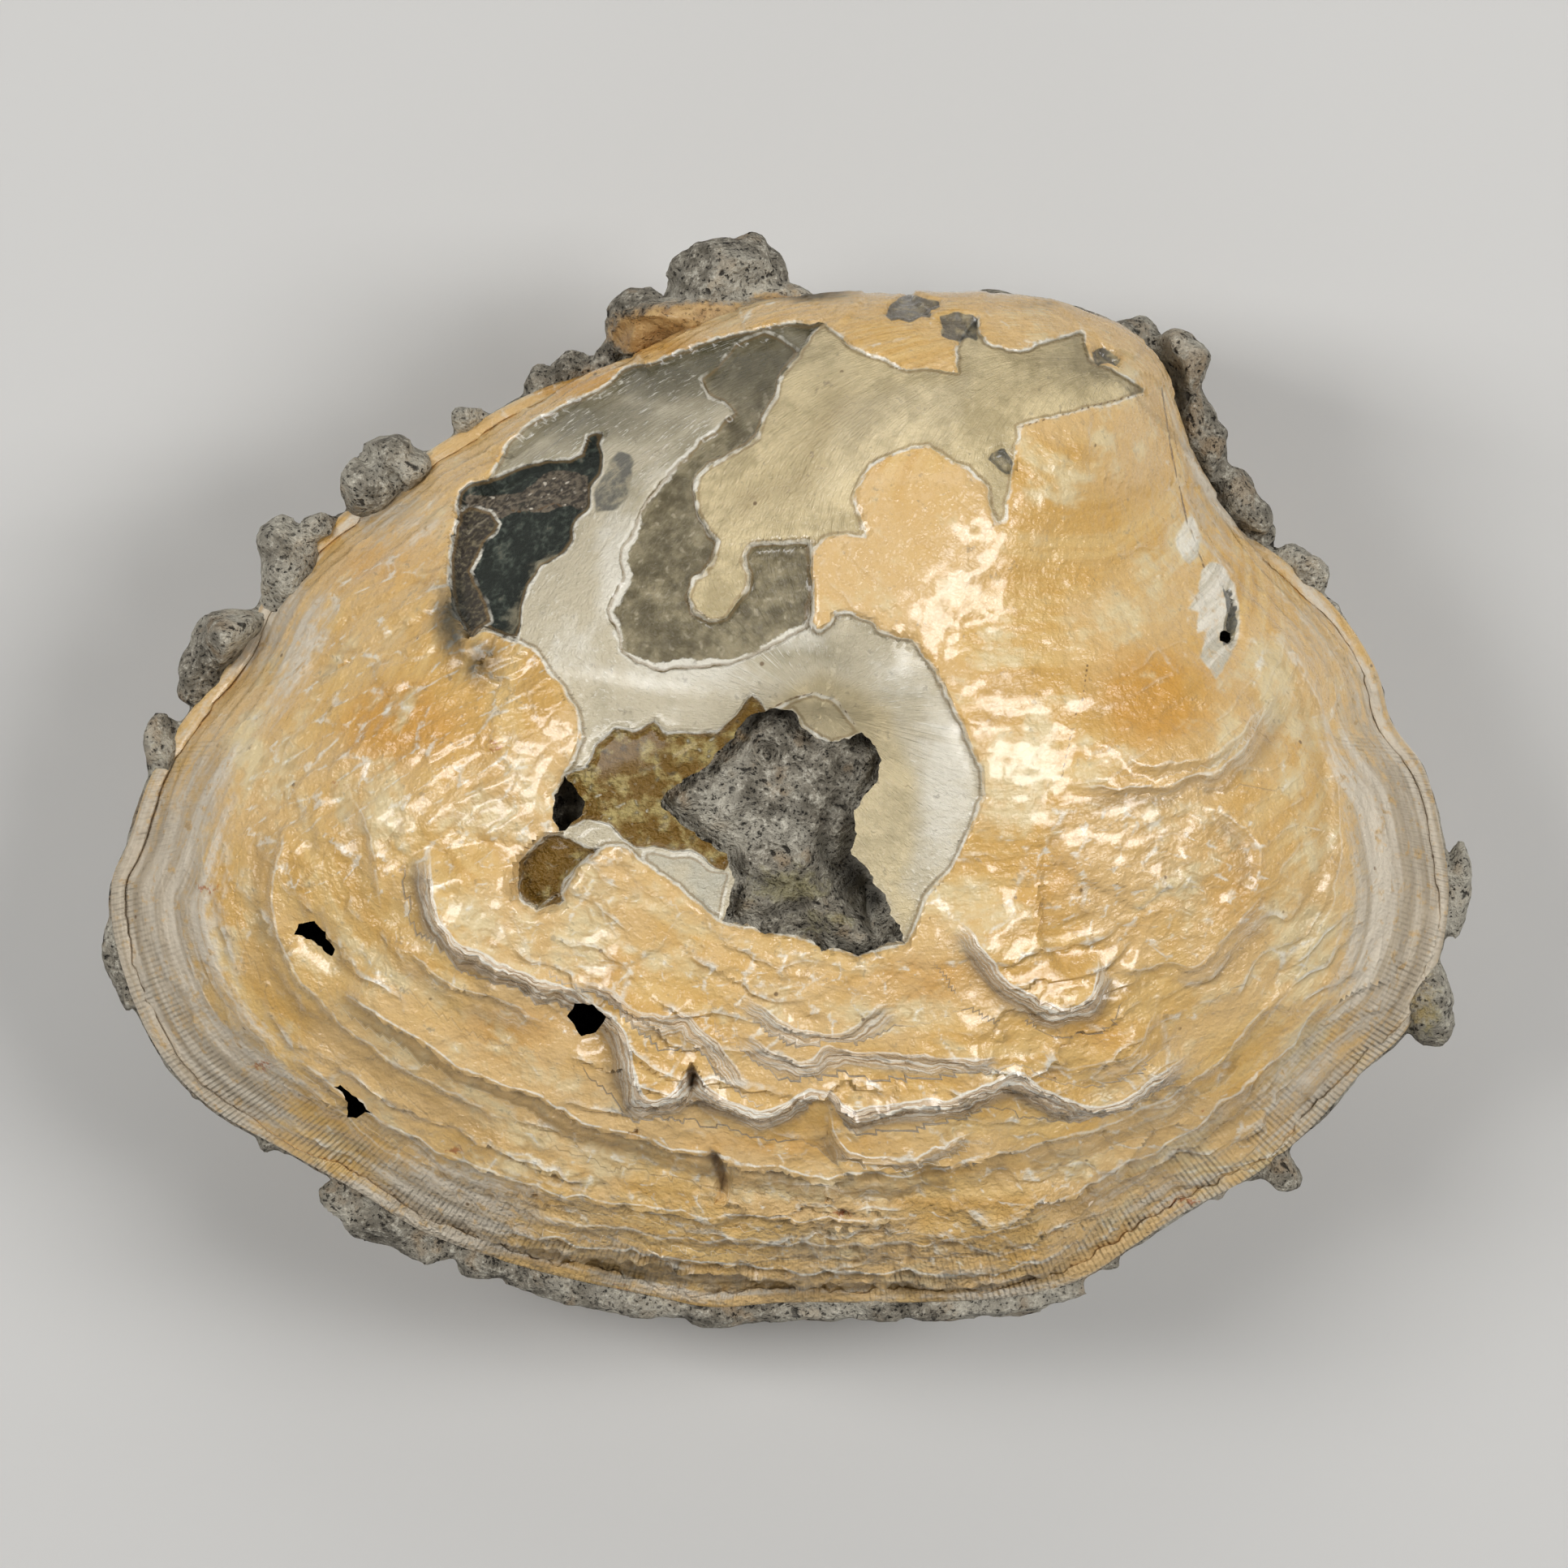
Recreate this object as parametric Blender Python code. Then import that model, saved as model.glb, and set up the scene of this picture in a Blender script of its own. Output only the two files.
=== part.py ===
"""A fossil clam: two valves closed on a filling of hardened sand, lying on the lower valve.

Metres, +Z up. +X runs along the length of the shell towards its rounded front end, +Y towards the hinge.
The shell is described in its own frame first, with the seam between the valves at z = 0, and is then
stood on the origin. Outlines are given in photograph pixels, which PIXEL turns into metres.
"""

import math

import bmesh
import bpy
import numpy as np
from mathutils import Matrix, Vector

# Driving sizes
SHELL_LENGTH = 0.1108
VALVE_DEPTH = 0.0280
WALL = 0.0030
RIM_WALL = 0.0042
SEAM = 0.0010
GAP = 0.0003
UPPER_INSET = 0.0008
LOWER_INSET = 0.0008
RESTING_CUT = 0.0007
VIEW_DISTANCE = 0.716

# The photograph's scale and the pixel that is taken as the middle
LENGTH_PX = 1662.0
PIXEL = SHELL_LENGTH / LENGTH_PX
MIDDLE_PX = (967.0, 968.0)
CROWN_PX = (1010.0, 880.0)
BEAK_PX = (1380.0, 470.0)

# Form of a valve: how full its arch is, and how the umbo rolls over the hinge
ARCH_POWER = 2.35
MARGIN_RISE = 0.0012
UMBO_RISE = 0.0095
UMBO_TUCK = 0.0062
MARGIN_TUCK = 0.0004
UMBO_TURN = math.radians(74.0)
UMBO_SPREAD = math.radians(66.0)
TURN_SHARE = 0.96
UMBO_TURN_SHARE = 0.14
UMBO_FULLNESS = 0.5
HOLLOW_FULLNESS = 0.75
HOLLOW_UMBO_FULLNESS = 0.2
INSET_SIDEWAYS = 1.8
FOOT_SHARE = 0.015

# Depths of what has flaked away and heights of what stands proud
GREY_DEPTH = 0.0009
BROWN_DEPTH = 0.0007
WINDOW_DEPTH = 0.0012
SCAR_DEPTH = 0.0016
LAYER_EDGE = 0.0006
WINDOW_EDGE = 0.0008
SCAR_EDGE = 0.0010
LEDGE_WIDTH = 0.0090
LEDGE_FADE = 0.0050
BAND_EDGE = 0.0005

# Growth ledges of the lower valve
LOWER_LEDGES = 8.0
LOWER_LEDGE_HEIGHT = 0.0013
LOWER_LEDGE_CROWDING = 1.4
LOWER_WANDER = 0.020
LOWER_WANDER_SIZE = 0.014

# Rough top of the filling: how far it lies under the hole, and its bumps as height and size
EXPOSED_DROP = 0.0011
EXPOSED_EDGE = 0.0012
SAND_BUMPS = [(0.0007, 0.0042), (0.0004, 0.0019)]
FILLING_FOOT = 0.0012
SHEET_INSET = 0.0004
LUMP_BULGE = 0.22
LUMP_BULGE_SIZE = 0.75
CUTTER_MARGIN = 0.0040
GROUND_BLOCK = 0.0200

# Grid cells along a quarter of the shell, before thinning, and what is kept of them
FINE_CELLS = 64
CORE_CELLS = 36
HOLLOW_CELLS = 8
FENCE_CELLS = 32
FENCE_KEPT = 0.080
FENCE_CLEARANCE = 0.0010
FENCE_OVERLAP = 0.00005
SHEET_SIDES = 72
UPPER_KEPT = 0.138
LOWER_KEPT = 0.056
CORE_KEPT = 0.095
LUMPS_KEPT = 0.160

VALVE_OUTLINE = [
    (1028, 364), (1136, 364), (1240, 362), (1325, 378), (1390, 405), (1440, 448), (1463, 500),
    (1490, 565), (1543, 640), (1600, 690), (1660, 756), (1703, 825), (1722, 890), (1763, 950),
    (1785, 1040), (1792, 1110), (1778, 1190), (1740, 1272), (1684, 1325), (1626, 1389),
    (1555, 1450), (1465, 1499), (1402, 1540), (1330, 1585), (1240, 1606), (1120, 1612),
    (969, 1612), (880, 1618), (806, 1605), (650, 1570), (520, 1525), (440, 1476), (350, 1425),
    (258, 1372), (200, 1315), (162, 1248), (135, 1165), (130, 1090), (151, 1038), (177, 960),
    (215, 893), (285, 800), (330, 715), (404, 640), (510, 560), (588, 512), (674, 462),
    (757, 428), (870, 388), (950, 370),
]

# Through holes in the upper valve
CENTRAL_HOLE = [
    (946, 874), (977, 874), (1007, 910), (1046, 910), (1072, 910), (1086, 935), (1080, 962),
    (1051, 1000), (1049, 1053), (1071, 1071), (1097, 1126), (1115, 1161), (1057, 1178),
    (1034, 1168), (1013, 1172), (977, 1151), (925, 1140), (891, 1135), (904, 1084), (896, 1053),
    (850, 1023), (812, 990), (847, 958), (885, 925), (904, 908), (916, 889),
]
SLOT_HOLE = [(697, 955), (720, 988), (718, 1004), (690, 1025), (680, 1007), (684, 975)]
SMALL_HOLES = [
    [(360, 1145), (386, 1133), (412, 1165), (409, 1180), (383, 1160)],
    [(700, 1252), (706, 1235), (729, 1235), (750, 1255), (734, 1274), (714, 1279)],
    [(408, 1338), (421, 1335), (457, 1371), (438, 1378), (427, 1374)],
    [(702, 1580), (711, 1570), (724, 1574), (717, 1588), (706, 1592)],
    [(1278, 1576), (1289, 1578), (1294, 1597), (1285, 1602)],
]

# Places where layers of the upper valve have flaked off, one inside another
GREY_FIELD = [
    (617, 563), (660, 520), (720, 489), (795, 448), (883, 415), (970, 400), (990, 426),
    (962, 474), (932, 539), (874, 571), (858, 606), (871, 654), (920, 668), (997, 668),
    (1000, 755), (1029, 757), (1081, 778), (1123, 786), (1161, 845), (1195, 916), (1210, 968),
    (1176, 1057), (1141, 1107), (1115, 1161), (1013, 1172), (891, 1135), (847, 1099),
    (751, 1030), (713, 1067), (695, 1115), (659, 1122), (640, 1090), (655, 1046), (690, 1025),
    (697, 955), (718, 910), (690, 840), (637, 790), (578, 784), (553, 721), (555, 657),
    (568, 609),
]
BROWN_FIELD = [
    (863, 469), (904, 507), (861, 542), (803, 606), (759, 680), (749, 752), (789, 818),
    (892, 824), (999, 777), (997, 668), (920, 670), (924, 724), (893, 761), (855, 756),
    (855, 715), (884, 667), (858, 606), (874, 571), (932, 539), (962, 474), (990, 426),
    (940, 405),
]
WINDOW = [
    (749, 529), (721, 550), (650, 570), (568, 609), (562, 632), (555, 657), (553, 721),
    (578, 784), (606, 780), (637, 790), (652, 724), (708, 665), (731, 599),
]
FRONT_SCAR = [(1512, 712), (1526, 748), (1519, 795), (1497, 834), (1504, 790), (1505, 740)]

# Ledges of the upper valve, each from left to right: height, then the line of its edge
LEDGES = [
    (0.0009, [(900, 1220), (964, 1265), (1047, 1271), (1085, 1239), (1123, 1233)]),
    (0.0009, [(900, 1265), (951, 1303), (1021, 1290), (1091, 1297), (1257, 1306)]),
    (0.0020, [
        (525, 1039), (536, 1125), (599, 1171), (703, 1223), (760, 1257), (780, 1326),
        (805, 1358), (855, 1318), (903, 1361), (970, 1360), (1008, 1338), (1047, 1373),
        (1155, 1357), (1257, 1322), (1295, 1354), (1397, 1354), (1474, 1296),
    ]),
    (0.0014, [(1015, 1360), (1028, 1405), (1123, 1430), (1213, 1392)]),
    (0.0018, [
        (410, 1217), (502, 1275), (617, 1338), (731, 1384), (846, 1418), (961, 1441),
        (1059, 1453), (1142, 1443), (1260, 1420),
    ]),
    (0.0012, [(560, 1500), (740, 1540), (900, 1555), (1079, 1571), (1174, 1583), (1330, 1530)]),
    (0.0019, [
        (1174, 1131), (1206, 1169), (1276, 1236), (1308, 1247), (1340, 1233), (1358, 1169),
        (1400, 1201), (1461, 1198), (1522, 1150),
    ]),
    (0.0011, [(1315, 971), (1400, 968), (1493, 958), (1560, 880), (1576, 843)]),
]

# Sand in the groove between the umbos
GROOVE_LUMP = 0.0042
GROOVE_LEAST = 0.0012
GROOVE_LUMPS = 13
GROOVE_SPREAD = math.radians(56.0)

# Bands along the margin, by their distance from the edge, and their height
MARGIN_BANDS = [(0.0016, 0.00055), (0.0034, 0.00050), (0.0056, 0.00045)]

# Lumps of sandstone on the rim: middle in pixels, height above the seam, and size along x, y, z
LUMPS = [
    ((890, 350), 0.0030, (0.0062, 0.0036, 0.0056)),
    ((935, 345), 0.0010, (0.0030, 0.0026, 0.0040)),
    ((795, 398), 0.0020, (0.0034, 0.0032, 0.0042)),
    ((868, 392), 0.0040, (0.0078, 0.0026, 0.0052)),
    ((272, 790), 0.0022, (0.0034, 0.0030, 0.0040)),
    ((248, 832), 0.0005, (0.0020, 0.0024, 0.0026)),
    ((200, 925), 0.0006, (0.0018, 0.0034, 0.0024)),
    ((358, 685), 0.0016, (0.0034, 0.0042, 0.0036)),
    ((468, 580), 0.0016, (0.0040, 0.0034, 0.0034)),
    ((575, 520), 0.0012, (0.0020, 0.0018, 0.0024)),
    ((1393, 418), 0.0030, (0.0024, 0.0026, 0.0040)),
    ((1452, 448), 0.0030, (0.0026, 0.0028, 0.0050)),
    ((1476, 520), 0.0020, (0.0024, 0.0042, 0.0048)),
    ((1520, 610), 0.0016, (0.0026, 0.0036, 0.0040)),
    ((1612, 712), 0.0006, (0.0022, 0.0020, 0.0020)),
    ((1793, 1095), -0.0002, (0.0012, 0.0044, 0.0018)),
    ((1750, 1236), 0.0002, (0.0026, 0.0044, 0.0022)),
    ((1576, 1440), 0.0002, (0.0022, 0.0020, 0.0018)),
    ((1240, 1608), -0.0002, (0.0054, 0.0014, 0.0018)),
    ((1165, 1620), -0.0004, (0.0034, 0.0010, 0.0016)),
    ((1010, 1616), -0.0006, (0.0060, 0.0010, 0.0016)),
    ((880, 1622), -0.0004, (0.0048, 0.0014, 0.0018)),
    ((740, 1596), -0.0004, (0.0056, 0.0016, 0.0016)),
    ((600, 1560), -0.0004, (0.0054, 0.0018, 0.0018)),
    ((480, 1510), -0.0004, (0.0042, 0.0024, 0.0018)),
    ((150, 1180), 0.0000, (0.0016, 0.0050, 0.0016)),
]
CORE_PITS = [((1052, 1085), 0.0030, 0.0030), ((940, 930), 0.0016, 0.0014), ((985, 1140), 0.0022, 0.0020)]
SMALL_PIT_DEPTH = 0.0060

MATERIALS = {
    "honey_shell": ((0.72, 0.52, 0.30), 0.25),
    "worn_shell": ((0.60, 0.47, 0.32), 0.45),
    "sandstone": ((0.19, 0.175, 0.155), 0.95),
}


def smooth(value):
    """Ease from 0 to 1 as the value runs from 0 to 1."""
    value = np.clip(value, 0.0, 1.0)
    return value * value * (3.0 - 2.0 * value)


def lattice(ix, iy, iz, seed):
    """Repeatable values from -1 to 1 at whole-number places."""
    mixed = (ix * 374761393 + iy * 668265263 + iz * 1442695041 + seed * 974634777) & 0xFFFFFFFF
    mixed = ((mixed ^ (mixed >> 13)) * 1274126177) & 0xFFFFFFFF
    return ((mixed ^ (mixed >> 16)) & 0xFFFF) / 32767.5 - 1.0


def lumpiness(points, size, seed):
    """Smooth noise from -1 to 1 over points, with lumps of the given size."""
    scaled = points / size
    whole = np.floor(scaled).astype(np.int64)
    part = smooth(scaled - whole)
    total = np.zeros(len(points))
    for corner in range(8):
        step = np.array([corner & 1, corner >> 1 & 1, corner >> 2 & 1])
        weight = np.prod(np.where(step, part, 1.0 - part), axis=1)
        total += weight * lattice(*(whole + step).T, seed)
    return total


def curve_through(knots, steps):
    """Closed smooth curve through the knots, with so many steps from one to the next."""
    knots = np.array(knots, float)
    before, after = np.roll(knots, 1, axis=0), np.roll(knots, -1, axis=0)
    beyond = np.roll(knots, -2, axis=0)
    rows = []
    for step in range(steps):
        t = step / steps
        rows.append(0.5 * (
            2 * knots + (after - before) * t
            + (2 * before - 5 * knots + 4 * after - beyond) * t ** 2
            + (3 * knots - before - 3 * after + beyond) * t ** 3
        ))
    return np.stack(rows, axis=1).reshape(-1, 2)


def in_plan(pixels):
    """Places at the seam, in metres, of photograph pixels."""
    away = (np.array(pixels, float) - MIDDLE_PX) * PIXEL
    return away * (1.0, -1.0)


def in_photo(points):
    """Photograph pixels in which points of the shell are seen from above."""
    closer = VIEW_DISTANCE / (VIEW_DISTANCE - points[:, 2])
    return points[:, :2] * closer[:, None] * (1.0, -1.0) / PIXEL + MIDDLE_PX


def nearest_on_line(pixels, line, closed):
    """Distance, side and place along a line of pixels, for each of the given pixels."""
    line = np.array(line, float)
    ends = np.roll(line, -1, axis=0) if closed else line[1:]
    starts = line if closed else line[:-1]
    best = np.full(len(pixels), np.inf)
    side = np.zeros(len(pixels))
    along = np.zeros(len(pixels))
    run = 0.0
    for start, end in zip(starts, ends):
        way = end - start
        length = math.hypot(*way)
        away = pixels - start
        t = np.clip(away @ way / length ** 2, 0.0, 1.0)
        distance = np.hypot(*(away - t[:, None] * way).T)
        closer = distance < best
        best[closer] = distance[closer]
        side[closer] = np.sign(way[1] * away[:, 0] - way[0] * away[:, 1])[closer]
        along[closer] = (run + t * length)[closer]
        run += length
    return best * PIXEL, side, along * PIXEL, run * PIXEL


def inside(pixels, outline):
    """Depth in metres inside a closed outline, negative outside it."""
    outline = np.array(outline, float)
    crossed = np.zeros(len(pixels), bool)
    x, y = pixels.T
    for (x0, y0), (x1, y1) in zip(outline, np.roll(outline, -1, axis=0)):
        if y0 != y1:
            crossed ^= ((y0 > y) != (y1 > y)) & (x < (x1 - x0) * (y - y0) / (y1 - y0) + x0)
    distance = nearest_on_line(pixels, outline, True)[0]
    return np.where(crossed, distance, -distance)


def reach_from(centre_px, angles):
    """Distance from a centre to the valve's outline, in each direction."""
    rim = in_plan(curve_through(VALVE_OUTLINE, 8)) - in_plan(centre_px)
    bearing = np.arctan2(rim[:, 1], rim[:, 0])
    order = np.argsort(bearing)
    return np.interp(angles, bearing[order], np.hypot(*rim.T)[order], period=2 * math.pi)


def growth_age(pixels):
    """0 at the beak and 1 at the margin, along the way in which the shell grew."""
    away = in_plan(pixels) - in_plan(BEAK_PX)
    return np.hypot(*away.T) / reach_from(BEAK_PX, np.arctan2(away[:, 1], away[:, 0]))


def ledge_height(pixels, height, line):
    """A layer that thickens towards its edge and ends there in a step."""
    distance, side, along, length = nearest_on_line(pixels, line, False)
    fade = smooth(along / LEDGE_FADE) * smooth((length - along) / LEDGE_FADE)
    above = side > 0
    return np.where(above, height * fade * np.exp(-distance / LEDGE_WIDTH), 0.0)


def upper_relief(pixels, to_margin):
    """Height of the upper valve's flaked layers, ledges and bands over its smooth arch."""
    grey = smooth(inside(pixels, GREY_FIELD) / LAYER_EDGE + 0.5)
    brown = smooth(inside(pixels, BROWN_FIELD) / LAYER_EDGE + 0.5)
    window = smooth(inside(pixels, WINDOW) / WINDOW_EDGE + 0.5)
    scar = smooth(inside(pixels, FRONT_SCAR) / SCAR_EDGE + 0.5)
    relief = -GREY_DEPTH * grey - BROWN_DEPTH * brown - WINDOW_DEPTH * window - SCAR_DEPTH * scar
    for height, line in LEDGES:
        relief += ledge_height(pixels, height, line)
    for place, height in MARGIN_BANDS:
        relief -= height * smooth((place - to_margin) / BAND_EDGE + 0.5)
    return relief


def lower_relief(pixels, to_margin):
    """Growth ledges of the hidden valve, wider apart towards the margin."""
    age = growth_age(pixels)
    flat = np.column_stack([pixels * PIXEL, np.zeros(len(pixels))])
    wander = LOWER_WANDER * lumpiness(flat, LOWER_WANDER_SIZE, 5)
    saw = np.mod((age + wander) ** LOWER_LEDGE_CROWDING * LOWER_LEDGES, 1.0)
    relief = LOWER_LEDGE_HEIGHT * saw * smooth(age * 2.0)
    for place, height in MARGIN_BANDS:
        relief -= height * smooth((place - to_margin) / BAND_EDGE + 0.5)
    return relief


def no_relief(pixels, to_margin):
    """A smooth valve."""
    return np.zeros(len(pixels))


def half_sphere(cells):
    """Upper half of a cube's grid blown up to a unit sphere, open at its rim."""
    bm = bmesh.new()
    bmesh.ops.create_cube(bm, size=2.0)
    bmesh.ops.subdivide_edges(bm, edges=bm.edges[:], cuts=cells - 1, use_grid_fill=True)
    bmesh.ops.delete(bm, geom=[v for v in bm.verts if v.co.z < -1e-6], context="VERTS")
    for vert in bm.verts:
        vert.co = Vector([math.tan(c * math.pi / 4) for c in vert.co]).normalized()
    return bm


def spread(bm):
    """Bearing of each vertex about the crown, and its share of the way from crown to rim."""
    places = np.array([v.co[:] for v in bm.verts])
    bearing = np.arctan2(places[:, 1], places[:, 0])
    return bearing, np.arccos(np.clip(places[:, 2], 0.0, 1.0)) / (math.pi / 2)


def umbo_share(bearing):
    """1 where the umbo rolls over the hinge, easing to 0 along the rest of the margin."""
    turn = np.abs(np.angle(np.exp(1j * (bearing - UMBO_TURN))))
    return smooth(1.0 - turn / UMBO_SPREAD)


def outer_arch(bearing, share):
    """The smooth outside of a valve, from its crown over the umbo to the seam."""
    umbo = umbo_share(bearing)
    rise = SEAM + MARGIN_RISE + UMBO_RISE * umbo
    reach = reach_from(CROWN_PX, bearing) * (1.0 - rise / VIEW_DISTANCE)
    turn = TURN_SHARE - UMBO_TURN_SHARE * umbo
    over = np.clip(share / turn, 0.0, 1.0)
    out = (1.0 - umbo) * over + umbo * np.sin(over * math.pi / 2)
    arch = np.clip(1.0 - out ** ARCH_POWER, 0.0, 1.0) ** (1.0 - UMBO_FULLNESS * umbo)
    under = np.clip((share - turn) / (1.0 - turn), 0.0, 1.0) * math.pi / 2
    tuck = MARGIN_TUCK + UMBO_TUCK * umbo
    radius = reach * out - tuck * (1.0 - np.cos(under))
    height = np.where(
        share < turn, rise + (VALVE_DEPTH - rise) * arch, SEAM + (rise - SEAM) * (1.0 - np.sin(under))
    )
    middle = in_plan(CROWN_PX)
    return np.column_stack([
        middle[0] + radius * np.cos(bearing), middle[1] + radius * np.sin(bearing), height
    ])


def inner_arch(bearing, share, inset):
    """The smooth hollow of a valve from its crown to the seam, and the filling within it."""
    umbo = umbo_share(bearing)
    rim = RIM_WALL + INSET_SIDEWAYS * inset
    reach = reach_from(CROWN_PX, bearing) - UMBO_TUCK * umbo - rim
    out = np.sin(share * math.pi / 2)
    radius = reach * out
    fullness = HOLLOW_FULLNESS - HOLLOW_UMBO_FULLNESS * umbo
    arch = np.clip(1.0 - out ** ARCH_POWER, 0.0, 1.0) ** fullness
    height = (VALVE_DEPTH - WALL - inset) * arch
    middle = in_plan(CROWN_PX)
    return np.column_stack([
        middle[0] + radius * np.cos(bearing), middle[1] + radius * np.sin(bearing), height
    ])


def collection(name):
    """A collection of that name in the scene."""
    made = bpy.data.collections.new(name)
    bpy.context.scene.collection.children.link(made)
    return made


def finish_mesh(bm, name, group, material=None):
    """An object of that name in that group, from a closed mesh."""
    mesh = bpy.data.meshes.new(name)
    bm.to_mesh(mesh)
    bm.free()
    made = bpy.data.objects.new(name, mesh)
    group.objects.link(made)
    if material:
        mesh.materials.append(material)
    return made


def close_rim(bm):
    """Close an open rim with one flat face and turn all faces outwards."""
    rim = [edge for edge in bm.edges if edge.is_boundary]
    bmesh.ops.holes_fill(bm, edges=rim, sides=0)
    bmesh.ops.recalc_face_normals(bm, faces=bm.faces[:])


def place(bm, points):
    """Move the vertices to the points."""
    for vert, point in zip(bm.verts, points):
        vert.co = point


def valve_skin(relief, cells):
    """The closed outer form of a valve, above the seam, with its relief."""
    bm = half_sphere(cells)
    bearing, share = spread(bm)
    points = outer_arch(bearing, share)
    place(bm, points)
    bmesh.ops.recalc_face_normals(bm, faces=bm.faces[:])
    bm.normal_update()
    normals = np.array([v.normal[:] for v in bm.verts])
    to_margin = np.clip(TURN_SHARE - share, 0.0, 1.0) * reach_from(CROWN_PX, bearing)
    lift = relief(in_photo(points), to_margin) * smooth((1.0 - share) / FOOT_SHARE)
    place(bm, points + normals * lift[:, None])
    close_rim(bm)
    return bm


def flip(bm):
    """Mirror a closed form to below the seam."""
    bmesh.ops.transform(bm, matrix=Matrix.Diagonal((1, 1, -1, 1)), verts=bm.verts[:])
    bmesh.ops.recalc_face_normals(bm, faces=bm.faces[:])


def hollow(name, group, below):
    """Cutter for the hollow of a valve, which reaches to the middle of the seam."""
    bm = half_sphere(HOLLOW_CELLS)
    bearing, share = spread(bm)
    place(bm, inner_arch(bearing, share, 0.0))
    close_rim(bm)
    if below:
        flip(bm)
    return finish_mesh(bm, name, group)


def hole_cutters(name, group):
    """Prisms through the upper valve that narrow upwards as the view does."""
    bm = bmesh.new()
    low, high = 2 * SEAM, VALVE_DEPTH + CUTTER_MARGIN
    for outline in [CENTRAL_HOLE, SLOT_HOLE] + SMALL_HOLES:
        flat = in_plan(outline)
        rings = []
        for level in (low, high):
            ring = flat * (1.0 - level / VIEW_DISTANCE)
            rings.append([bm.verts.new((x, y, level)) for x, y in ring])
        count = len(outline)
        bm.faces.new(rings[0])
        bm.faces.new(rings[1])
        for i in range(count):
            j = (i + 1) % count
            bm.faces.new((rings[0][i], rings[0][j], rings[1][j], rings[1][i]))
    bmesh.ops.recalc_face_normals(bm, faces=bm.faces[:])
    return finish_mesh(bm, name, group)


def block(name, group, centre, size):
    """A plain box used as a cutter."""
    bm = bmesh.new()
    bmesh.ops.create_cube(bm, size=1.0)
    bmesh.ops.scale(bm, vec=size, verts=bm.verts[:])
    bmesh.ops.translate(bm, vec=centre, verts=bm.verts[:])
    return finish_mesh(bm, name, group)


def thin(made, kept):
    """Thin a fine grid where it is smooth and keep its ledges."""
    modifier = made.modifiers.new("thin", "DECIMATE")
    modifier.ratio = kept


def combine(made, other, operation):
    """Cut an object with another, or join the two."""
    modifier = made.modifiers.new(other.name, "BOOLEAN")
    modifier.operation = operation
    modifier.solver = "EXACT"
    modifier.object = other


def settle(made):
    """Replace an object's mesh by what its modifiers make of it."""
    graph = bpy.context.evaluated_depsgraph_get()
    mesh = bpy.data.meshes.new_from_object(made.evaluated_get(graph))
    made.modifiers.clear()
    made.data = mesh


def filled_points(bearing, share):
    """Rough outside of the filling in the upper valve, lower under the holes."""
    points = inner_arch(bearing, share, UPPER_INSET)
    pixels = in_photo(points)
    exposed = smooth(inside(pixels, CENTRAL_HOLE) / EXPOSED_EDGE + 1.6)
    rough = sum(height * lumpiness(points, size, 11 + i) for i, (height, size) in enumerate(SAND_BUMPS))
    drop = exposed * (EXPOSED_DROP + rough)
    for middle, depth, radius in CORE_PITS:
        away = np.hypot(*(pixels - middle).T) * PIXEL
        drop += depth * smooth(1.0 - away / (1.6 * radius))
    for outline in [SLOT_HOLE] + SMALL_HOLES[:3]:
        drop += SMALL_PIT_DEPTH * smooth(inside(pixels, outline) / EXPOSED_EDGE + 1.3)
    points[:, 2] -= np.minimum(drop, np.maximum(points[:, 2] - FILLING_FOOT, 0.0))
    return points


def upper_core(group, material):
    """The filling of the upper valve, which is seen through its holes."""
    bm = half_sphere(CORE_CELLS)
    place(bm, filled_points(*spread(bm)))
    close_rim(bm)
    made = finish_mesh(bm, "sandstone_matrix", group, material)
    thin(made, CORE_KEPT)
    return made


def lower_core(group):
    """The filling of the lower valve."""
    bm = half_sphere(HOLLOW_CELLS)
    bearing, share = spread(bm)
    place(bm, inner_arch(bearing, share, LOWER_INSET))
    close_rim(bm)
    flip(bm)
    return finish_mesh(bm, "lower_core", group)


def seam_sheet(group):
    """The thin layer of sand that parts the valves out to their margin."""
    bm = bmesh.new()
    bearing = np.linspace(0.0, 2 * math.pi, SHEET_SIDES, endpoint=False)
    tucked = UMBO_TUCK * umbo_share(bearing)
    reach = reach_from(CROWN_PX, bearing) - tucked - SHEET_INSET
    middle = in_plan(CROWN_PX)
    ring = [
        bm.verts.new((middle[0] + r * math.cos(b), middle[1] + r * math.sin(b), GAP - SEAM))
        for r, b in zip(reach, bearing)
    ]
    bm.faces.new(ring)
    raised = bmesh.ops.extrude_face_region(bm, geom=bm.faces[:])["geom"]
    lifted = [part for part in raised if isinstance(part, bmesh.types.BMVert)]
    bmesh.ops.translate(bm, vec=(0, 0, 2 * (SEAM - GAP)), verts=lifted)
    bmesh.ops.recalc_face_normals(bm, faces=bm.faces[:])
    return finish_mesh(bm, "seam_sheet", group)


def lump(number, centre, size, group):
    """A knobbly lump of sandstone."""
    bm = bmesh.new()
    bmesh.ops.create_icosphere(bm, subdivisions=2, radius=1.0)
    unit = np.array([v.co[:] for v in bm.verts])
    bulge = 1.0 + LUMP_BULGE * lumpiness(unit, LUMP_BULGE_SIZE, 20 + number)
    place(bm, centre + unit * bulge[:, None] * size)
    return finish_mesh(bm, f"lump_{number:02d}", group)


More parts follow.
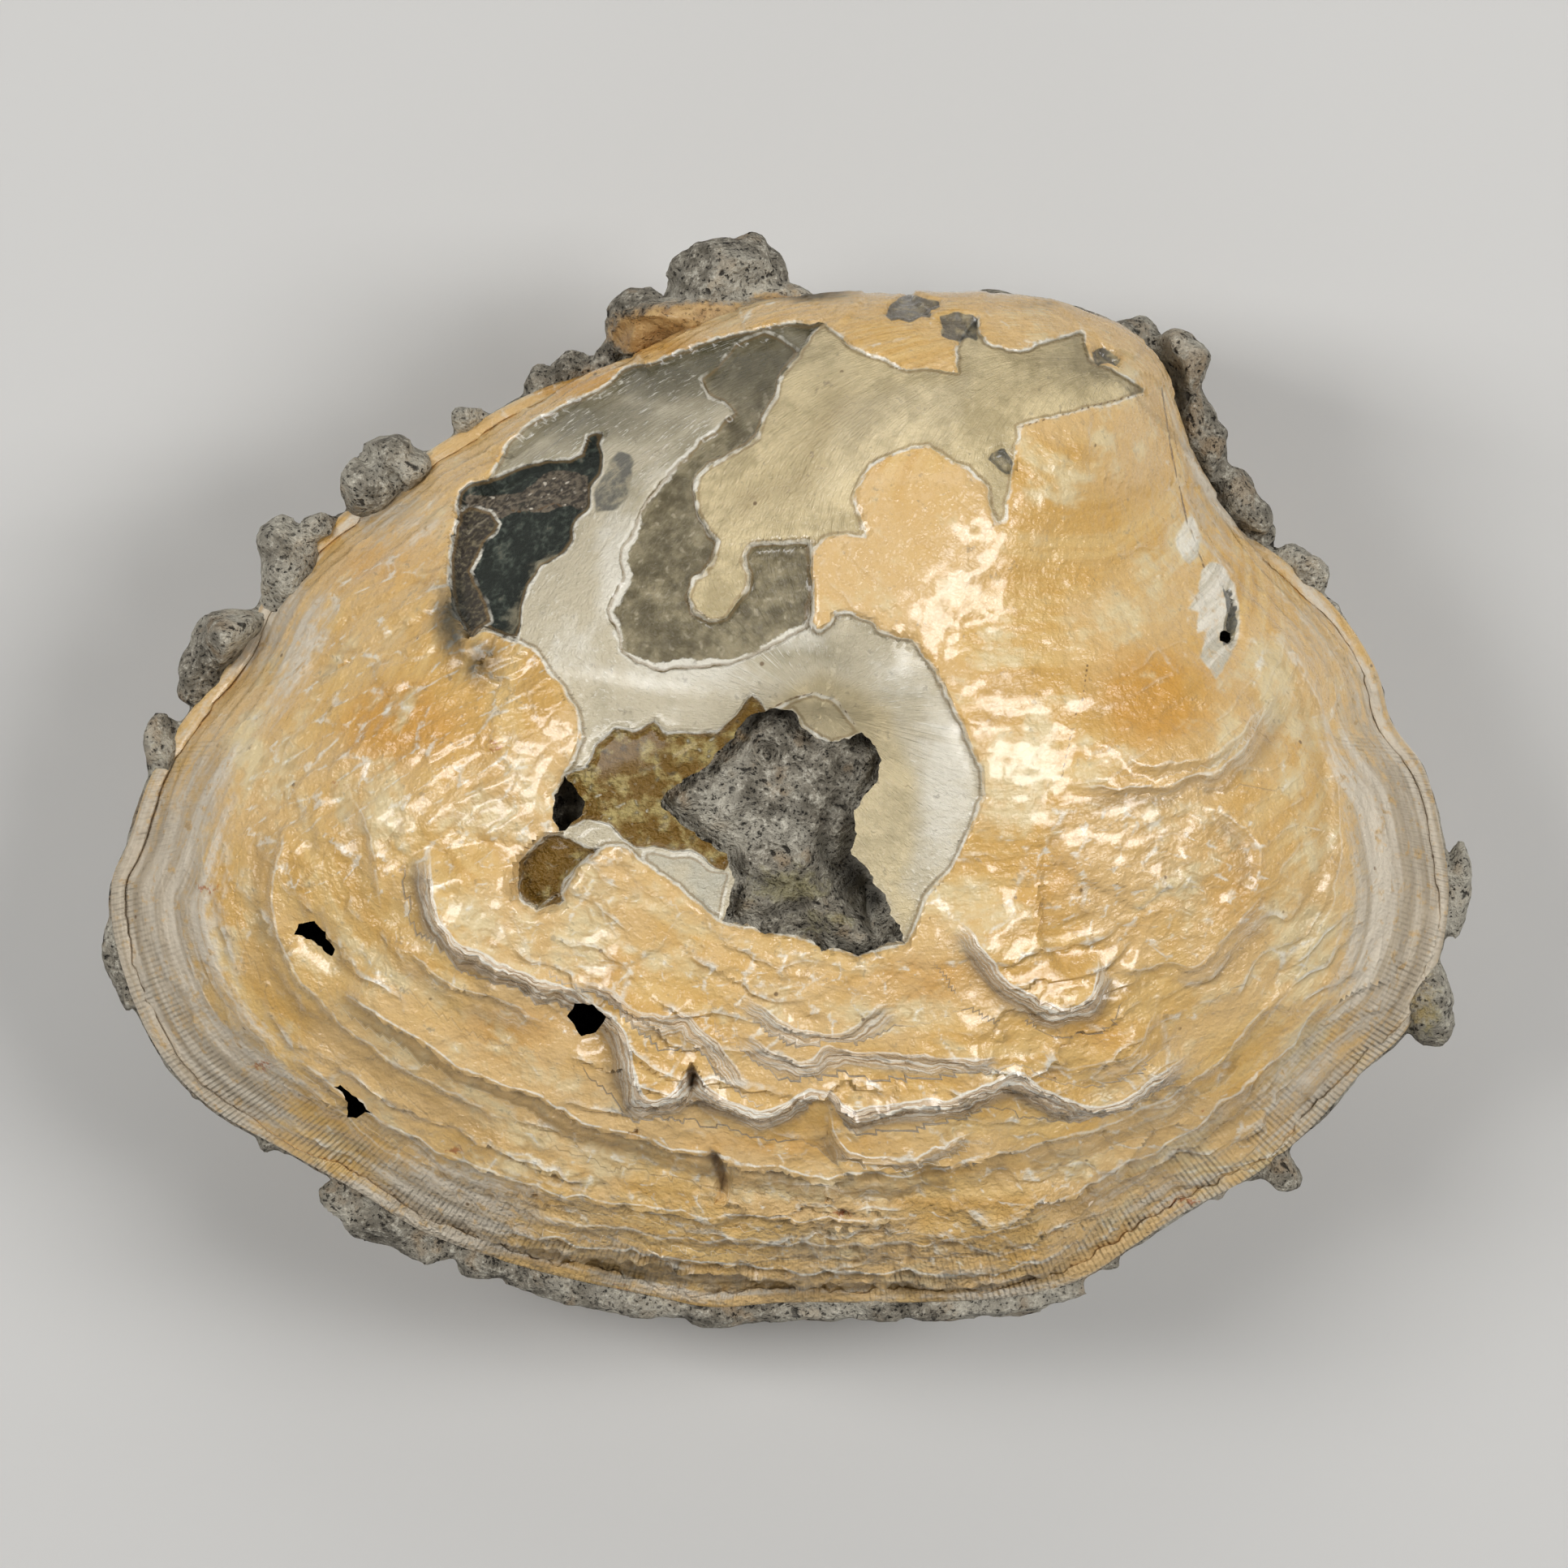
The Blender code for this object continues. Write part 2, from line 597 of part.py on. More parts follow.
def lump_places():
    """Middle and size of each lump: a row in the groove under the umbos, then those on the rim."""
    bearings = np.linspace(UMBO_TURN - GROOVE_SPREAD, UMBO_TURN + GROOVE_SPREAD, GROOVE_LUMPS)
    umbo = umbo_share(bearings)
    reach = reach_from(CROWN_PX, bearings) - UMBO_TUCK * umbo
    middle = in_plan(CROWN_PX)
    for bearing, radius, share in zip(bearings, reach, umbo):
        centre = (middle[0] + radius * math.cos(bearing), middle[1] + radius * math.sin(bearing), 0.0)
        yield centre, (GROOVE_LUMP * share + GROOVE_LEAST,) * 3
    for pixel, height, size in LUMPS:
        x, y = in_plan(pixel) * (1.0 - height / VIEW_DISTANCE)
        yield (x, y, height), size


def keep_off(name, group, below):
    """A valve's smooth outer form with clearance around it, which the lumps stay out of."""
    bm = valve_skin(no_relief, FENCE_CELLS)
    if below:
        flip(bm)
    made = finish_mesh(bm, name, group)
    thin(made, FENCE_KEPT)
    settle(made)
    bm = bmesh.new()
    bm.from_mesh(made.data)
    bm.normal_update()
    at_seam = [v for v in bm.verts if abs(v.co.z) < SEAM + 1e-6]
    normals = [v.normal.copy() for v in bm.verts]
    for vert, normal in zip(bm.verts, normals):
        vert.co += normal * FENCE_CLEARANCE
    for vert in at_seam:
        vert.co.z = math.copysign(SEAM - GAP - FENCE_OVERLAP, vert.co.z)
    bm.to_mesh(made.data)
    bm.free()
    return made


def material(name):
    """Plain Principled material of that name."""
    colour, roughness = MATERIALS[name]
    made = bpy.data.materials.new(name)
    made.use_nodes = True
    shader = made.node_tree.nodes["Principled BSDF"]
    shader.inputs["Base Color"].default_value = (*colour, 1.0)
    shader.inputs["Roughness"].default_value = roughness
    shader.inputs["Metallic"].default_value = 0.0
    return made


def upper_skin(clam):
    """The outside of the valve that is seen from above, still solid."""
    made = finish_mesh(valve_skin(upper_relief, FINE_CELLS), "upper_valve", clam, material("honey_shell"))
    thin(made, UPPER_KEPT)
    settle(made)
    return made


def lower_skin(clam):
    """The outside of the valve that the fossil lies on, still solid."""
    bm = valve_skin(lower_relief, FINE_CELLS)
    flip(bm)
    made = finish_mesh(bm, "lower_valve", clam, material("worn_shell"))
    thin(made, LOWER_KEPT)
    settle(made)
    return made


def open_upper_valve(made, cutters):
    """Hollow the upper valve and cut its holes."""
    combine(made, hollow("upper_hollow", cutters, False), "DIFFERENCE")
    combine(made, hole_cutters("hole_cutters", cutters), "DIFFERENCE")


def open_lower_valve(made, cutters):
    """Hollow the lower valve and wear the flat spot on its crown."""
    combine(made, hollow("lower_hollow", cutters, True), "DIFFERENCE")
    ground = RESTING_CUT - VALVE_DEPTH
    size = (2 * SHELL_LENGTH, 2 * SHELL_LENGTH, GROUND_BLOCK)
    under = block("ground", cutters, (0, 0, ground - GROUND_BLOCK / 2), size)
    combine(made, under, "DIFFERENCE")


def rim_lumps(cutters):
    """The lumps grown into each other and kept off both valves."""
    joined = None
    for number, (centre, size) in enumerate(lump_places()):
        knob = lump(number, centre, size, cutters)
        if joined is None:
            joined = knob
        else:
            combine(joined, knob, "UNION")
            settle(joined)
    thin(joined, LUMPS_KEPT)
    settle(joined)
    for name, below in (("upper_fence", False), ("lower_fence", True)):
        combine(joined, keep_off(name, cutters, below), "DIFFERENCE")
        settle(joined)
    return joined


def sandstone(clam, cutters):
    """The filling, the sheet in the seam and the lumps on the rim, grown together."""
    made = upper_core(clam, material("sandstone"))
    for other in (seam_sheet(cutters), lower_core(cutters), rim_lumps(cutters)):
        combine(made, other, "UNION")
        settle(made)
    return made


def stand_on_origin(pieces):
    """Put the origin under the middle of the whole fossil, on the ground."""
    graph = bpy.context.evaluated_depsgraph_get()
    corners = []
    for piece in pieces:
        mesh = piece.evaluated_get(graph).to_mesh()
        corners += [vert.co.copy() for vert in mesh.vertices]
    low = Vector([min(c[axis] for c in corners) for axis in range(3)])
    high = Vector([max(c[axis] for c in corners) for axis in range(3)])
    root = bpy.data.objects.new("fossil_clam", None)
    pieces[0].users_collection[0].objects.link(root)
    root.location = (-(low.x + high.x) / 2, -(low.y + high.y) / 2, -low.z)
    for piece in pieces:
        piece.parent = root


def main():
    """Build the fossil from its valves and its filling."""
    for old in list(bpy.data.objects):
        bpy.data.objects.remove(old)
    clam = collection("fossil_clam")
    cutters = collection("cutters")
    upper, lower = upper_skin(clam), lower_skin(clam)
    filling = sandstone(clam, cutters)
    open_upper_valve(upper, cutters)
    open_lower_valve(lower, cutters)
    pieces = [upper, lower, filling]
    stand_on_origin(pieces)
    root = pieces[0].parent
    for cutter in cutters.objects:
        cutter.hide_render = True
        cutter.display_type = "WIRE"
        cutter.parent = root


main()
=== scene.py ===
"""Looks of a fossil clam: a pair of honey and pearl shell valves closed on grey sandstone.

The upper valve has flaked down to pearly grey and olive layers around a hole, through which the sand
shows. Outlines are given in photograph pixels. Sizes are metres, and heights of relief millimetres.
"""

import logging
import math
from dataclasses import dataclass
from enum import Enum
from functools import reduce
from operator import add
from typing import Callable, Iterable, Sequence

import bpy
import numpy as np
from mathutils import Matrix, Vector


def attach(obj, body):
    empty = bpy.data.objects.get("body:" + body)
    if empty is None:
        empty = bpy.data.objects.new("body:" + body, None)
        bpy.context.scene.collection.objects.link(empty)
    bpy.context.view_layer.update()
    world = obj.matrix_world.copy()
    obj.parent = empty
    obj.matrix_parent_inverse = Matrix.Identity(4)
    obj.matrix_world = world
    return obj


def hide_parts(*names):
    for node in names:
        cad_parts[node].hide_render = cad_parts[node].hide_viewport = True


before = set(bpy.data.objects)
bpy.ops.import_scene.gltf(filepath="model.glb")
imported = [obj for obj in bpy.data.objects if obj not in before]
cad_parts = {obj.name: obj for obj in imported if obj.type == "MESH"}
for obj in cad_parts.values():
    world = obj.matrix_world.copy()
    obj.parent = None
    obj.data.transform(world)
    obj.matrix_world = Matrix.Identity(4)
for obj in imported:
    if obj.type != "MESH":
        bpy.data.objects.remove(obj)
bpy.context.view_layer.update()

Array = np.ndarray
Knots = Sequence[tuple[float, float]]
log = logging.getLogger("fossil_clam")

MILLIMETRE = 0.001

# Cells of a plain hidden form, and the angles in degrees beyond which edges stay sharp
PLAIN_CELLS = 24
SHARP_SHELL_EDGE = 48.0
SHARP_SAND_EDGE = 70.0
SOFT_SAND_EDGE = 80.0

# Where a valve's arch ends at its rim, as a share of the way there, and its run in millimetres
RIM_SHARE = 0.96
ARCH_MM = 55.0
SEAM_EASE = 0.015

# Steps of the bands along the margin: millimetres from the rim, and the drop
MARGIN_STEPS = ((1.6, 0.55), (3.4, 0.50), (5.6, 0.45), (7.6, 0.22))
RIB_SPACING_MM = 0.47
RING_COUNT = 30.0
STEP_TOP = 0.84
LEDGE_REACH_MM = 8.0
LEDGE_FADE_PX = 60.0
LEAVES_PER_STEP = 4.0

# How far down each layer lies, in millimetres, from the first to flake away to the last
LAYER_DEPTHS = (
    ("grey", -0.75), ("brown", -1.25), ("cream", -0.34), ("window", -1.55), ("floor", -1.85),
    ("olive", -1.45), ("nacre", -0.62),
)

# Stands for a place that is far from any flake
FAR = 400.0

VALVE_OUTLINE = [
    (1028, 364), (1136, 364), (1240, 362), (1325, 378), (1390, 405), (1440, 448), (1463, 500), (1490, 565),
    (1543, 640), (1600, 690), (1660, 756), (1703, 825), (1722, 890), (1763, 950), (1785, 1040),
    (1792, 1110), (1778, 1190), (1740, 1272), (1684, 1325), (1626, 1389), (1555, 1450), (1465, 1499),
    (1402, 1540), (1330, 1585), (1240, 1606), (1120, 1612), (969, 1612), (880, 1618), (806, 1605),
    (650, 1570), (520, 1525), (440, 1476), (350, 1425), (258, 1372), (200, 1315), (162, 1248), (135, 1165),
    (130, 1090), (151, 1038), (177, 960), (215, 893), (285, 800), (330, 715), (404, 640), (510, 560),
    (588, 512), (674, 462), (757, 428), (870, 388), (950, 370),
]
CENTRAL_HOLE = [
    (946, 874), (977, 874), (988, 897), (1007, 910), (1023, 914), (1046, 910), (1061, 902), (1072, 910),
    (1086, 935), (1080, 962), (1065, 981), (1051, 1000), (1055, 1027), (1049, 1053), (1071, 1071),
    (1078, 1092), (1092, 1103), (1097, 1126), (1109, 1141), (1115, 1161), (1095, 1159), (1080, 1170),
    (1057, 1178), (1034, 1168), (1013, 1172), (998, 1157), (977, 1151), (942, 1150), (925, 1140),
    (904, 1137), (891, 1135), (900, 1111), (904, 1084), (896, 1053), (870, 1038), (850, 1023), (831, 1008),
    (812, 990), (820, 977), (847, 958), (870, 944), (885, 925), (904, 908), (916, 889), (927, 881),
]
SLOT_HOLE = [
    (697, 956), (707, 969), (720, 988), (718, 1004), (701, 1019), (690, 1025), (680, 1007), (684, 981),
]
SMALL_HOLES = [
    [
        (368, 1138), (386, 1135), (401, 1150), (412, 1171), (409, 1179), (396, 1168), (383, 1158),
        (362, 1150),
    ],
    [(706, 1237), (729, 1237), (749, 1255), (734, 1272), (717, 1278), (708, 1263), (700, 1252)],
    [
        (411, 1339), (421, 1337), (439, 1352), (456, 1370), (439, 1376), (429, 1375), (429, 1360),
        (421, 1347),
    ],
    [(704, 1580), (711, 1572), (722, 1575), (717, 1586), (707, 1591)],
    [(1279, 1578), (1288, 1580), (1292, 1596), (1286, 1601), (1281, 1592)],
    [(1503, 779), (1509, 775), (1516, 779), (1518, 787), (1511, 793), (1504, 789)],
]

# Edges of the layers, which the outlines below are put together from
UPPER_RIM = [
    (617, 563), (629, 540), (660, 520), (693, 502), (720, 489), (749, 471), (771, 454), (795, 448),
    (848, 428), (883, 415), (930, 408), (970, 400),
]
HONEY_PLATE = [(1015, 400), (1053, 429), (1117, 454), (1181, 460), (1181, 422), (1203, 388)]
UMBO_EDGE = [(1205, 410), (1220, 425), (1257, 435), (1295, 419), (1334, 406)]
BEAK_CRACK = [(1345, 440), (1417, 486), (1391, 489), (1340, 502), (1295, 515)]
CLOUD_EDGE = [
    (1254, 527), (1257, 542), (1247, 581), (1244, 600), (1238, 641), (1231, 644), (1220, 622), (1219, 600),
    (1196, 577), (1171, 568), (1142, 550), (1123, 549), (1110, 555), (1091, 565), (1072, 571), (1062, 590),
    (1051, 612), (1056, 632), (1066, 651), (1066, 659), (1043, 657), (1027, 658), (1011, 663), (999, 676),
]
RING_EDGE = [
    (1000, 711), (995, 762), (1011, 778), (1024, 769), (1029, 756), (1050, 758), (1075, 766), (1081, 778),
    (1101, 785), (1123, 786), (1136, 804), (1152, 823), (1161, 845), (1176, 877), (1195, 916), (1210, 950),
    (1210, 985), (1195, 1019), (1176, 1057), (1157, 1088), (1141, 1107),
]
UNDER_HOLE = [
    (1115, 1161), (1057, 1178), (977, 1151), (925, 1140), (889, 1134), (870, 1122), (847, 1099),
    (816, 1076), (793, 1061), (770, 1040), (740, 1046),
]
LEFT_OF_HOLE = [
    (713, 1067), (692, 1103), (659, 1122), (640, 1096), (655, 1046), (690, 1025), (682, 981), (697, 955),
    (718, 910), (712, 880), (690, 840), (660, 800), (637, 790), (606, 780), (578, 784), (568, 772),
    (557, 749), (553, 721), (553, 690), (560, 673), (555, 657), (568, 638), (562, 622), (568, 609),
    (583, 597), (604, 591),
]
GREY_FIELD = (
    UPPER_RIM + HONEY_PLATE + UMBO_EDGE + BEAK_CRACK + CLOUD_EDGE + RING_EDGE + UNDER_HOLE + LEFT_OF_HOLE
)
TONGUE_EDGE = [
    (997, 668), (960, 669), (924, 673), (917, 689), (925, 705), (924, 724), (909, 743), (893, 761),
    (874, 764), (855, 756), (849, 737), (855, 715), (868, 705), (876, 689), (884, 667), (871, 654),
    (861, 635), (858, 606), (861, 587), (874, 571), (897, 561), (916, 549), (932, 539), (942, 517),
    (960, 489), (962, 474), (975, 446), (990, 426),
]
CREAM_PLATE = HONEY_PLATE + UMBO_EDGE + BEAK_CRACK + CLOUD_EDGE + TONGUE_EDGE
BROWN_LAYER = [
    (863, 469), (873, 487), (899, 500), (904, 507), (893, 515), (884, 527), (861, 542), (846, 563),
    (821, 583), (803, 606), (785, 632), (777, 657), (762, 675), (759, 695), (764, 716), (754, 734),
    (749, 752), (754, 777), (762, 803), (789, 818), (817, 830), (846, 824), (892, 824), (932, 807),
    (961, 789), (999, 777), (1000, 711), (997, 668), (990, 560), (1005, 480), (985, 430), (940, 410),
    (905, 425),
]
WINDOW = [
    (749, 529), (734, 532), (724, 537), (721, 550), (716, 559), (703, 565), (683, 569), (650, 570),
    (627, 578), (604, 591), (583, 597), (568, 609), (562, 622), (562, 632), (568, 638), (555, 657),
    (560, 673), (553, 690), (553, 721), (557, 749), (568, 772), (578, 784), (588, 776), (601, 775),
    (606, 780), (619, 786), (637, 790), (642, 772), (647, 744), (652, 724), (668, 703), (693, 683),
    (708, 665), (713, 644), (729, 622), (731, 599), (739, 583), (743, 563), (742, 548),
]
WINDOW_FLOOR = [
    (624, 630), (614, 655), (599, 670), (591, 688), (580, 701), (581, 716), (591, 734), (601, 752),
    (608, 772), (633, 786), (644, 744), (650, 722), (666, 701), (691, 681), (706, 663), (711, 643),
    (727, 620), (700, 628), (680, 630), (655, 634),
]
WINDOW_BAND = [
    (568, 613), (603, 610), (645, 606), (668, 587), (698, 579), (725, 587), (729, 610), (718, 629),
    (691, 625), (668, 631), (630, 633), (614, 640), (591, 625), (565, 631),
]
WINDOW_LEFT = [
    (565, 633), (584, 623), (607, 629), (614, 648), (599, 671), (591, 686), (578, 705), (588, 724),
    (599, 744), (605, 767), (588, 782), (580, 786), (565, 763), (557, 736), (553, 698), (559, 663),
]
OLIVE_LAYER = [
    (927, 854), (904, 885), (885, 902), (854, 901), (831, 902), (818, 904), (806, 887), (782, 901),
    (755, 897), (743, 910), (732, 921), (722, 946), (700, 956), (700, 1016), (724, 1011), (751, 1019),
    (770, 1034), (793, 1046), (816, 1044), (847, 1048), (870, 1059), (894, 1073), (930, 1000), (950, 900),
    (940, 866),
]
OLIVE_WINDOW = [
    (640, 1065), (655, 1046), (671, 1029), (694, 1029), (720, 1042), (740, 1046), (732, 1057), (713, 1067),
    (695, 1084), (692, 1103), (695, 1115), (674, 1119), (659, 1122), (644, 1111), (640, 1096),
]
NACRE_FLAKE = [
    (793, 1050), (847, 1052), (877, 1069), (900, 1076), (894, 1096), (889, 1134), (870, 1122), (847, 1099),
    (816, 1076), (793, 1061),
]
BEIGE_RIM = [
    (946, 872), (975, 845), (1010, 830), (1060, 850), (1095, 880), (1112, 920), (1126, 960), (1130, 1010),
    (1120, 1060), (1112, 1100), (1135, 1118), (1112, 1150), (1080, 1090), (1040, 1050), (1040, 980),
    (1070, 930), (1020, 915),
]
ARC_FLAKE = [
    (950, 876), (977, 862), (1004, 855), (1026, 862), (1046, 883), (1059, 902), (1023, 914), (990, 897),
    (977, 874),
]
GREY_SMEAR = [
    (764, 553), (777, 558), (781, 570), (773, 593), (770, 614), (757, 629), (734, 630), (733, 609),
    (741, 586), (752, 565),
]
SCAR = [
    (1482, 704), (1492, 692), (1506, 700), (1519, 722), (1527, 748), (1529, 774), (1522, 800), (1510, 820),
    (1497, 836), (1485, 818), (1478, 806), (1486, 786), (1490, 770), (1474, 780), (1482, 752), (1466, 752),
    (1474, 728),
]
SCAR_FLAKE = [(1446, 659), (1458, 640), (1469, 636), (1479, 662), (1475, 684), (1466, 694), (1454, 680)]


@dataclass(frozen=True)
class Pit:
    """A place where a piece has broken out: its depth in millimetres, and whether it is a narrow slit."""

    depth: float
    outline: Knots
    slit: bool = False


PITS = [
    Pit(0.9, [
        (1506, 722), (1516, 726), (1523, 745), (1525, 768), (1520, 792), (1508, 796), (1506, 775),
        (1509, 750),
    ]),
    Pit(0.7, [(1215, 565), (1226, 559), (1238, 552), (1251, 571), (1243, 584), (1228, 577)]),
    Pit(0.6, [(1348, 432), (1362, 426), (1371, 436), (1382, 440), (1374, 452), (1366, 447), (1352, 448)]),
    Pit(0.5, [
        (1088, 384), (1098, 371), (1116, 366), (1136, 365), (1157, 369), (1159, 378), (1148, 384),
        (1150, 393), (1137, 391), (1122, 397), (1108, 392), (1096, 394),
    ]),
    Pit(0.45, [
        (1155, 393), (1166, 388), (1178, 383), (1196, 386), (1206, 393), (1201, 406), (1204, 420),
        (1190, 416), (1181, 421), (1170, 418), (1158, 413), (1163, 403),
    ]),
    Pit(0.8, [
        (876, 1415), (886, 1419), (892, 1436), (897, 1458), (892, 1474), (884, 1455), (878, 1433),
    ], True),
    Pit(0.9, [(1017, 1490), (1034, 1486), (1052, 1492), (1036, 1499)], True),
    Pit(1.3, [(846, 1320), (856, 1314), (864, 1326), (864, 1342), (850, 1340)], True),
]


@dataclass(frozen=True)
class Ledge:
    """The edge of a layer that ends in a step: its height and width in millimetres, and how leafy it is."""

    height: float
    step: float
    leafy: float
    knots: Knots


LEDGES = [
    Ledge(0.55, 0.4, 0.7, [
        (900, 1220), (932, 1233), (964, 1265), (1002, 1274), (1047, 1271), (1085, 1239), (1123, 1233),
    ]),
    Ledge(0.55, 0.5, 0.8, [
        (900, 1265), (951, 1303), (996, 1306), (1021, 1290), (1091, 1297), (1168, 1306), (1257, 1306),
    ]),
    Ledge(1.9, 1.5, 1.0, [
        (525, 1039), (530, 1091), (536, 1125), (559, 1166), (599, 1171), (628, 1194), (668, 1212),
        (703, 1223), (731, 1240), (760, 1257), (777, 1286), (780, 1326), (794, 1355), (817, 1358),
        (840, 1338), (855, 1318), (872, 1344), (903, 1361), (944, 1372), (970, 1360), (1008, 1338),
        (1047, 1373), (1079, 1360), (1155, 1357), (1206, 1341), (1257, 1322), (1295, 1354), (1346, 1367),
        (1397, 1354), (1436, 1316), (1474, 1296),
    ]),
    Ledge(0.5, 0.5, 0.8, [
        (691, 1200), (748, 1223), (789, 1252), (823, 1257), (846, 1246), (869, 1275), (900, 1309),
        (938, 1354),
    ]),
    Ledge(1.1, 0.6, 0.6, [
        (1015, 1360), (1028, 1405), (1053, 1427), (1123, 1430), (1142, 1424), (1213, 1392),
    ]),
    Ledge(1.7, 0.7, 0.1, [
        (410, 1217), (444, 1240), (502, 1275), (559, 1309), (617, 1338), (674, 1361), (731, 1384),
        (789, 1401), (846, 1418), (904, 1430), (961, 1441), (1059, 1453), (1142, 1443), (1260, 1420),
    ]),
    Ledge(0.9, 0.6, 0.1, [
        (350, 1290), (440, 1362), (560, 1430), (700, 1475), (860, 1500), (1010, 1505), (1140, 1500),
    ]),
    Ledge(1.2, 0.6, 0.15, [
        (560, 1500), (640, 1525), (740, 1540), (820, 1552), (900, 1555), (977, 1571), (1079, 1571),
        (1130, 1564), (1174, 1583), (1260, 1560), (1330, 1530),
    ]),
    Ledge(1.5, 1.1, 1.0, [
        (1174, 1131), (1206, 1169), (1238, 1207), (1276, 1236), (1308, 1247), (1340, 1233), (1356, 1201),
        (1356, 1169),
    ]),
    Ledge(0.45, 0.4, 0.4, [
        (1356, 1169), (1378, 1198), (1410, 1201), (1439, 1188), (1461, 1198), (1493, 1182), (1522, 1150),
        (1570, 1090),
    ]),
    Ledge(0.4, 0.35, 0.3, [
        (1264, 1290), (1267, 1309), (1308, 1319), (1391, 1309), (1410, 1284), (1423, 1252), (1440, 1225),
    ]),
    Ledge(0.75, 0.5, 0.35, [(1315, 971), (1400, 968), (1493, 958), (1540, 915), (1576, 843)]),
    Ledge(0.5, 0.5, 0.2, [(1372, 920), (1410, 945), (1455, 938), (1493, 939), (1540, 890), (1576, 843)]),
    Ledge(0.6, 0.45, 0.3, [(470, 1160), (520, 1185), (560, 1215), (620, 1240), (690, 1262)]),
    Ledge(0.4, 0.4, 0.3, [(420, 960), (450, 1010), (462, 1080), (470, 1140)]),
    Ledge(0.7, 0.5, 0.3, [(1180, 1440), (1290, 1410), (1400, 1375), (1500, 1310), (1590, 1215)]),
    Ledge(0.8, 0.5, 0.2, [(1230, 1500), (1340, 1465), (1450, 1405), (1560, 1320), (1640, 1225)]),
    Ledge(0.5, 0.8, 0.1, [
        (300, 900), (255, 1000), (240, 1100), (262, 1200), (330, 1300), (430, 1385), (520, 1440),
    ]),
    Ledge(0.6, 0.4, 0.1, [(360, 1000), (330, 1080), (345, 1180), (410, 1262), (520, 1330), (640, 1390)]),
    Ledge(0.4, 1.2, 0.0, [(1560, 760), (1620, 850), (1650, 960), (1650, 1080), (1610, 1190), (1540, 1290)]),
    Ledge(0.5, 0.4, 0.3, [(1470, 990), (1530, 1010), (1555, 1060), (1530, 1120)]),
    Ledge(0.7, 0.5, 0.1, [(640, 1495), (760, 1520), (900, 1530), (1040, 1535), (1180, 1530), (1300, 1495)]),
]
CRACKS = [
    [(946, 874), (977, 860), (1004, 853), (1026, 860), (1046, 881), (1059, 902)],
    [(1254, 527), (1295, 515), (1340, 502), (1391, 489), (1417, 486)],
    [(1340, 818), (1334, 862), (1327, 875), (1315, 926), (1308, 958)],
    [(631, 629), (655, 632), (673, 624), (683, 620), (693, 624)],
    [(1430, 470), (1444, 560), (1462, 640), (1484, 700)],
]


@dataclass(frozen=True)
class Spot:
    """A soft-edged patch: its middle and half sizes in photograph pixels, and its strength."""

    x: float
    y: float
    across: float
    down: float
    strength: float = 1.0


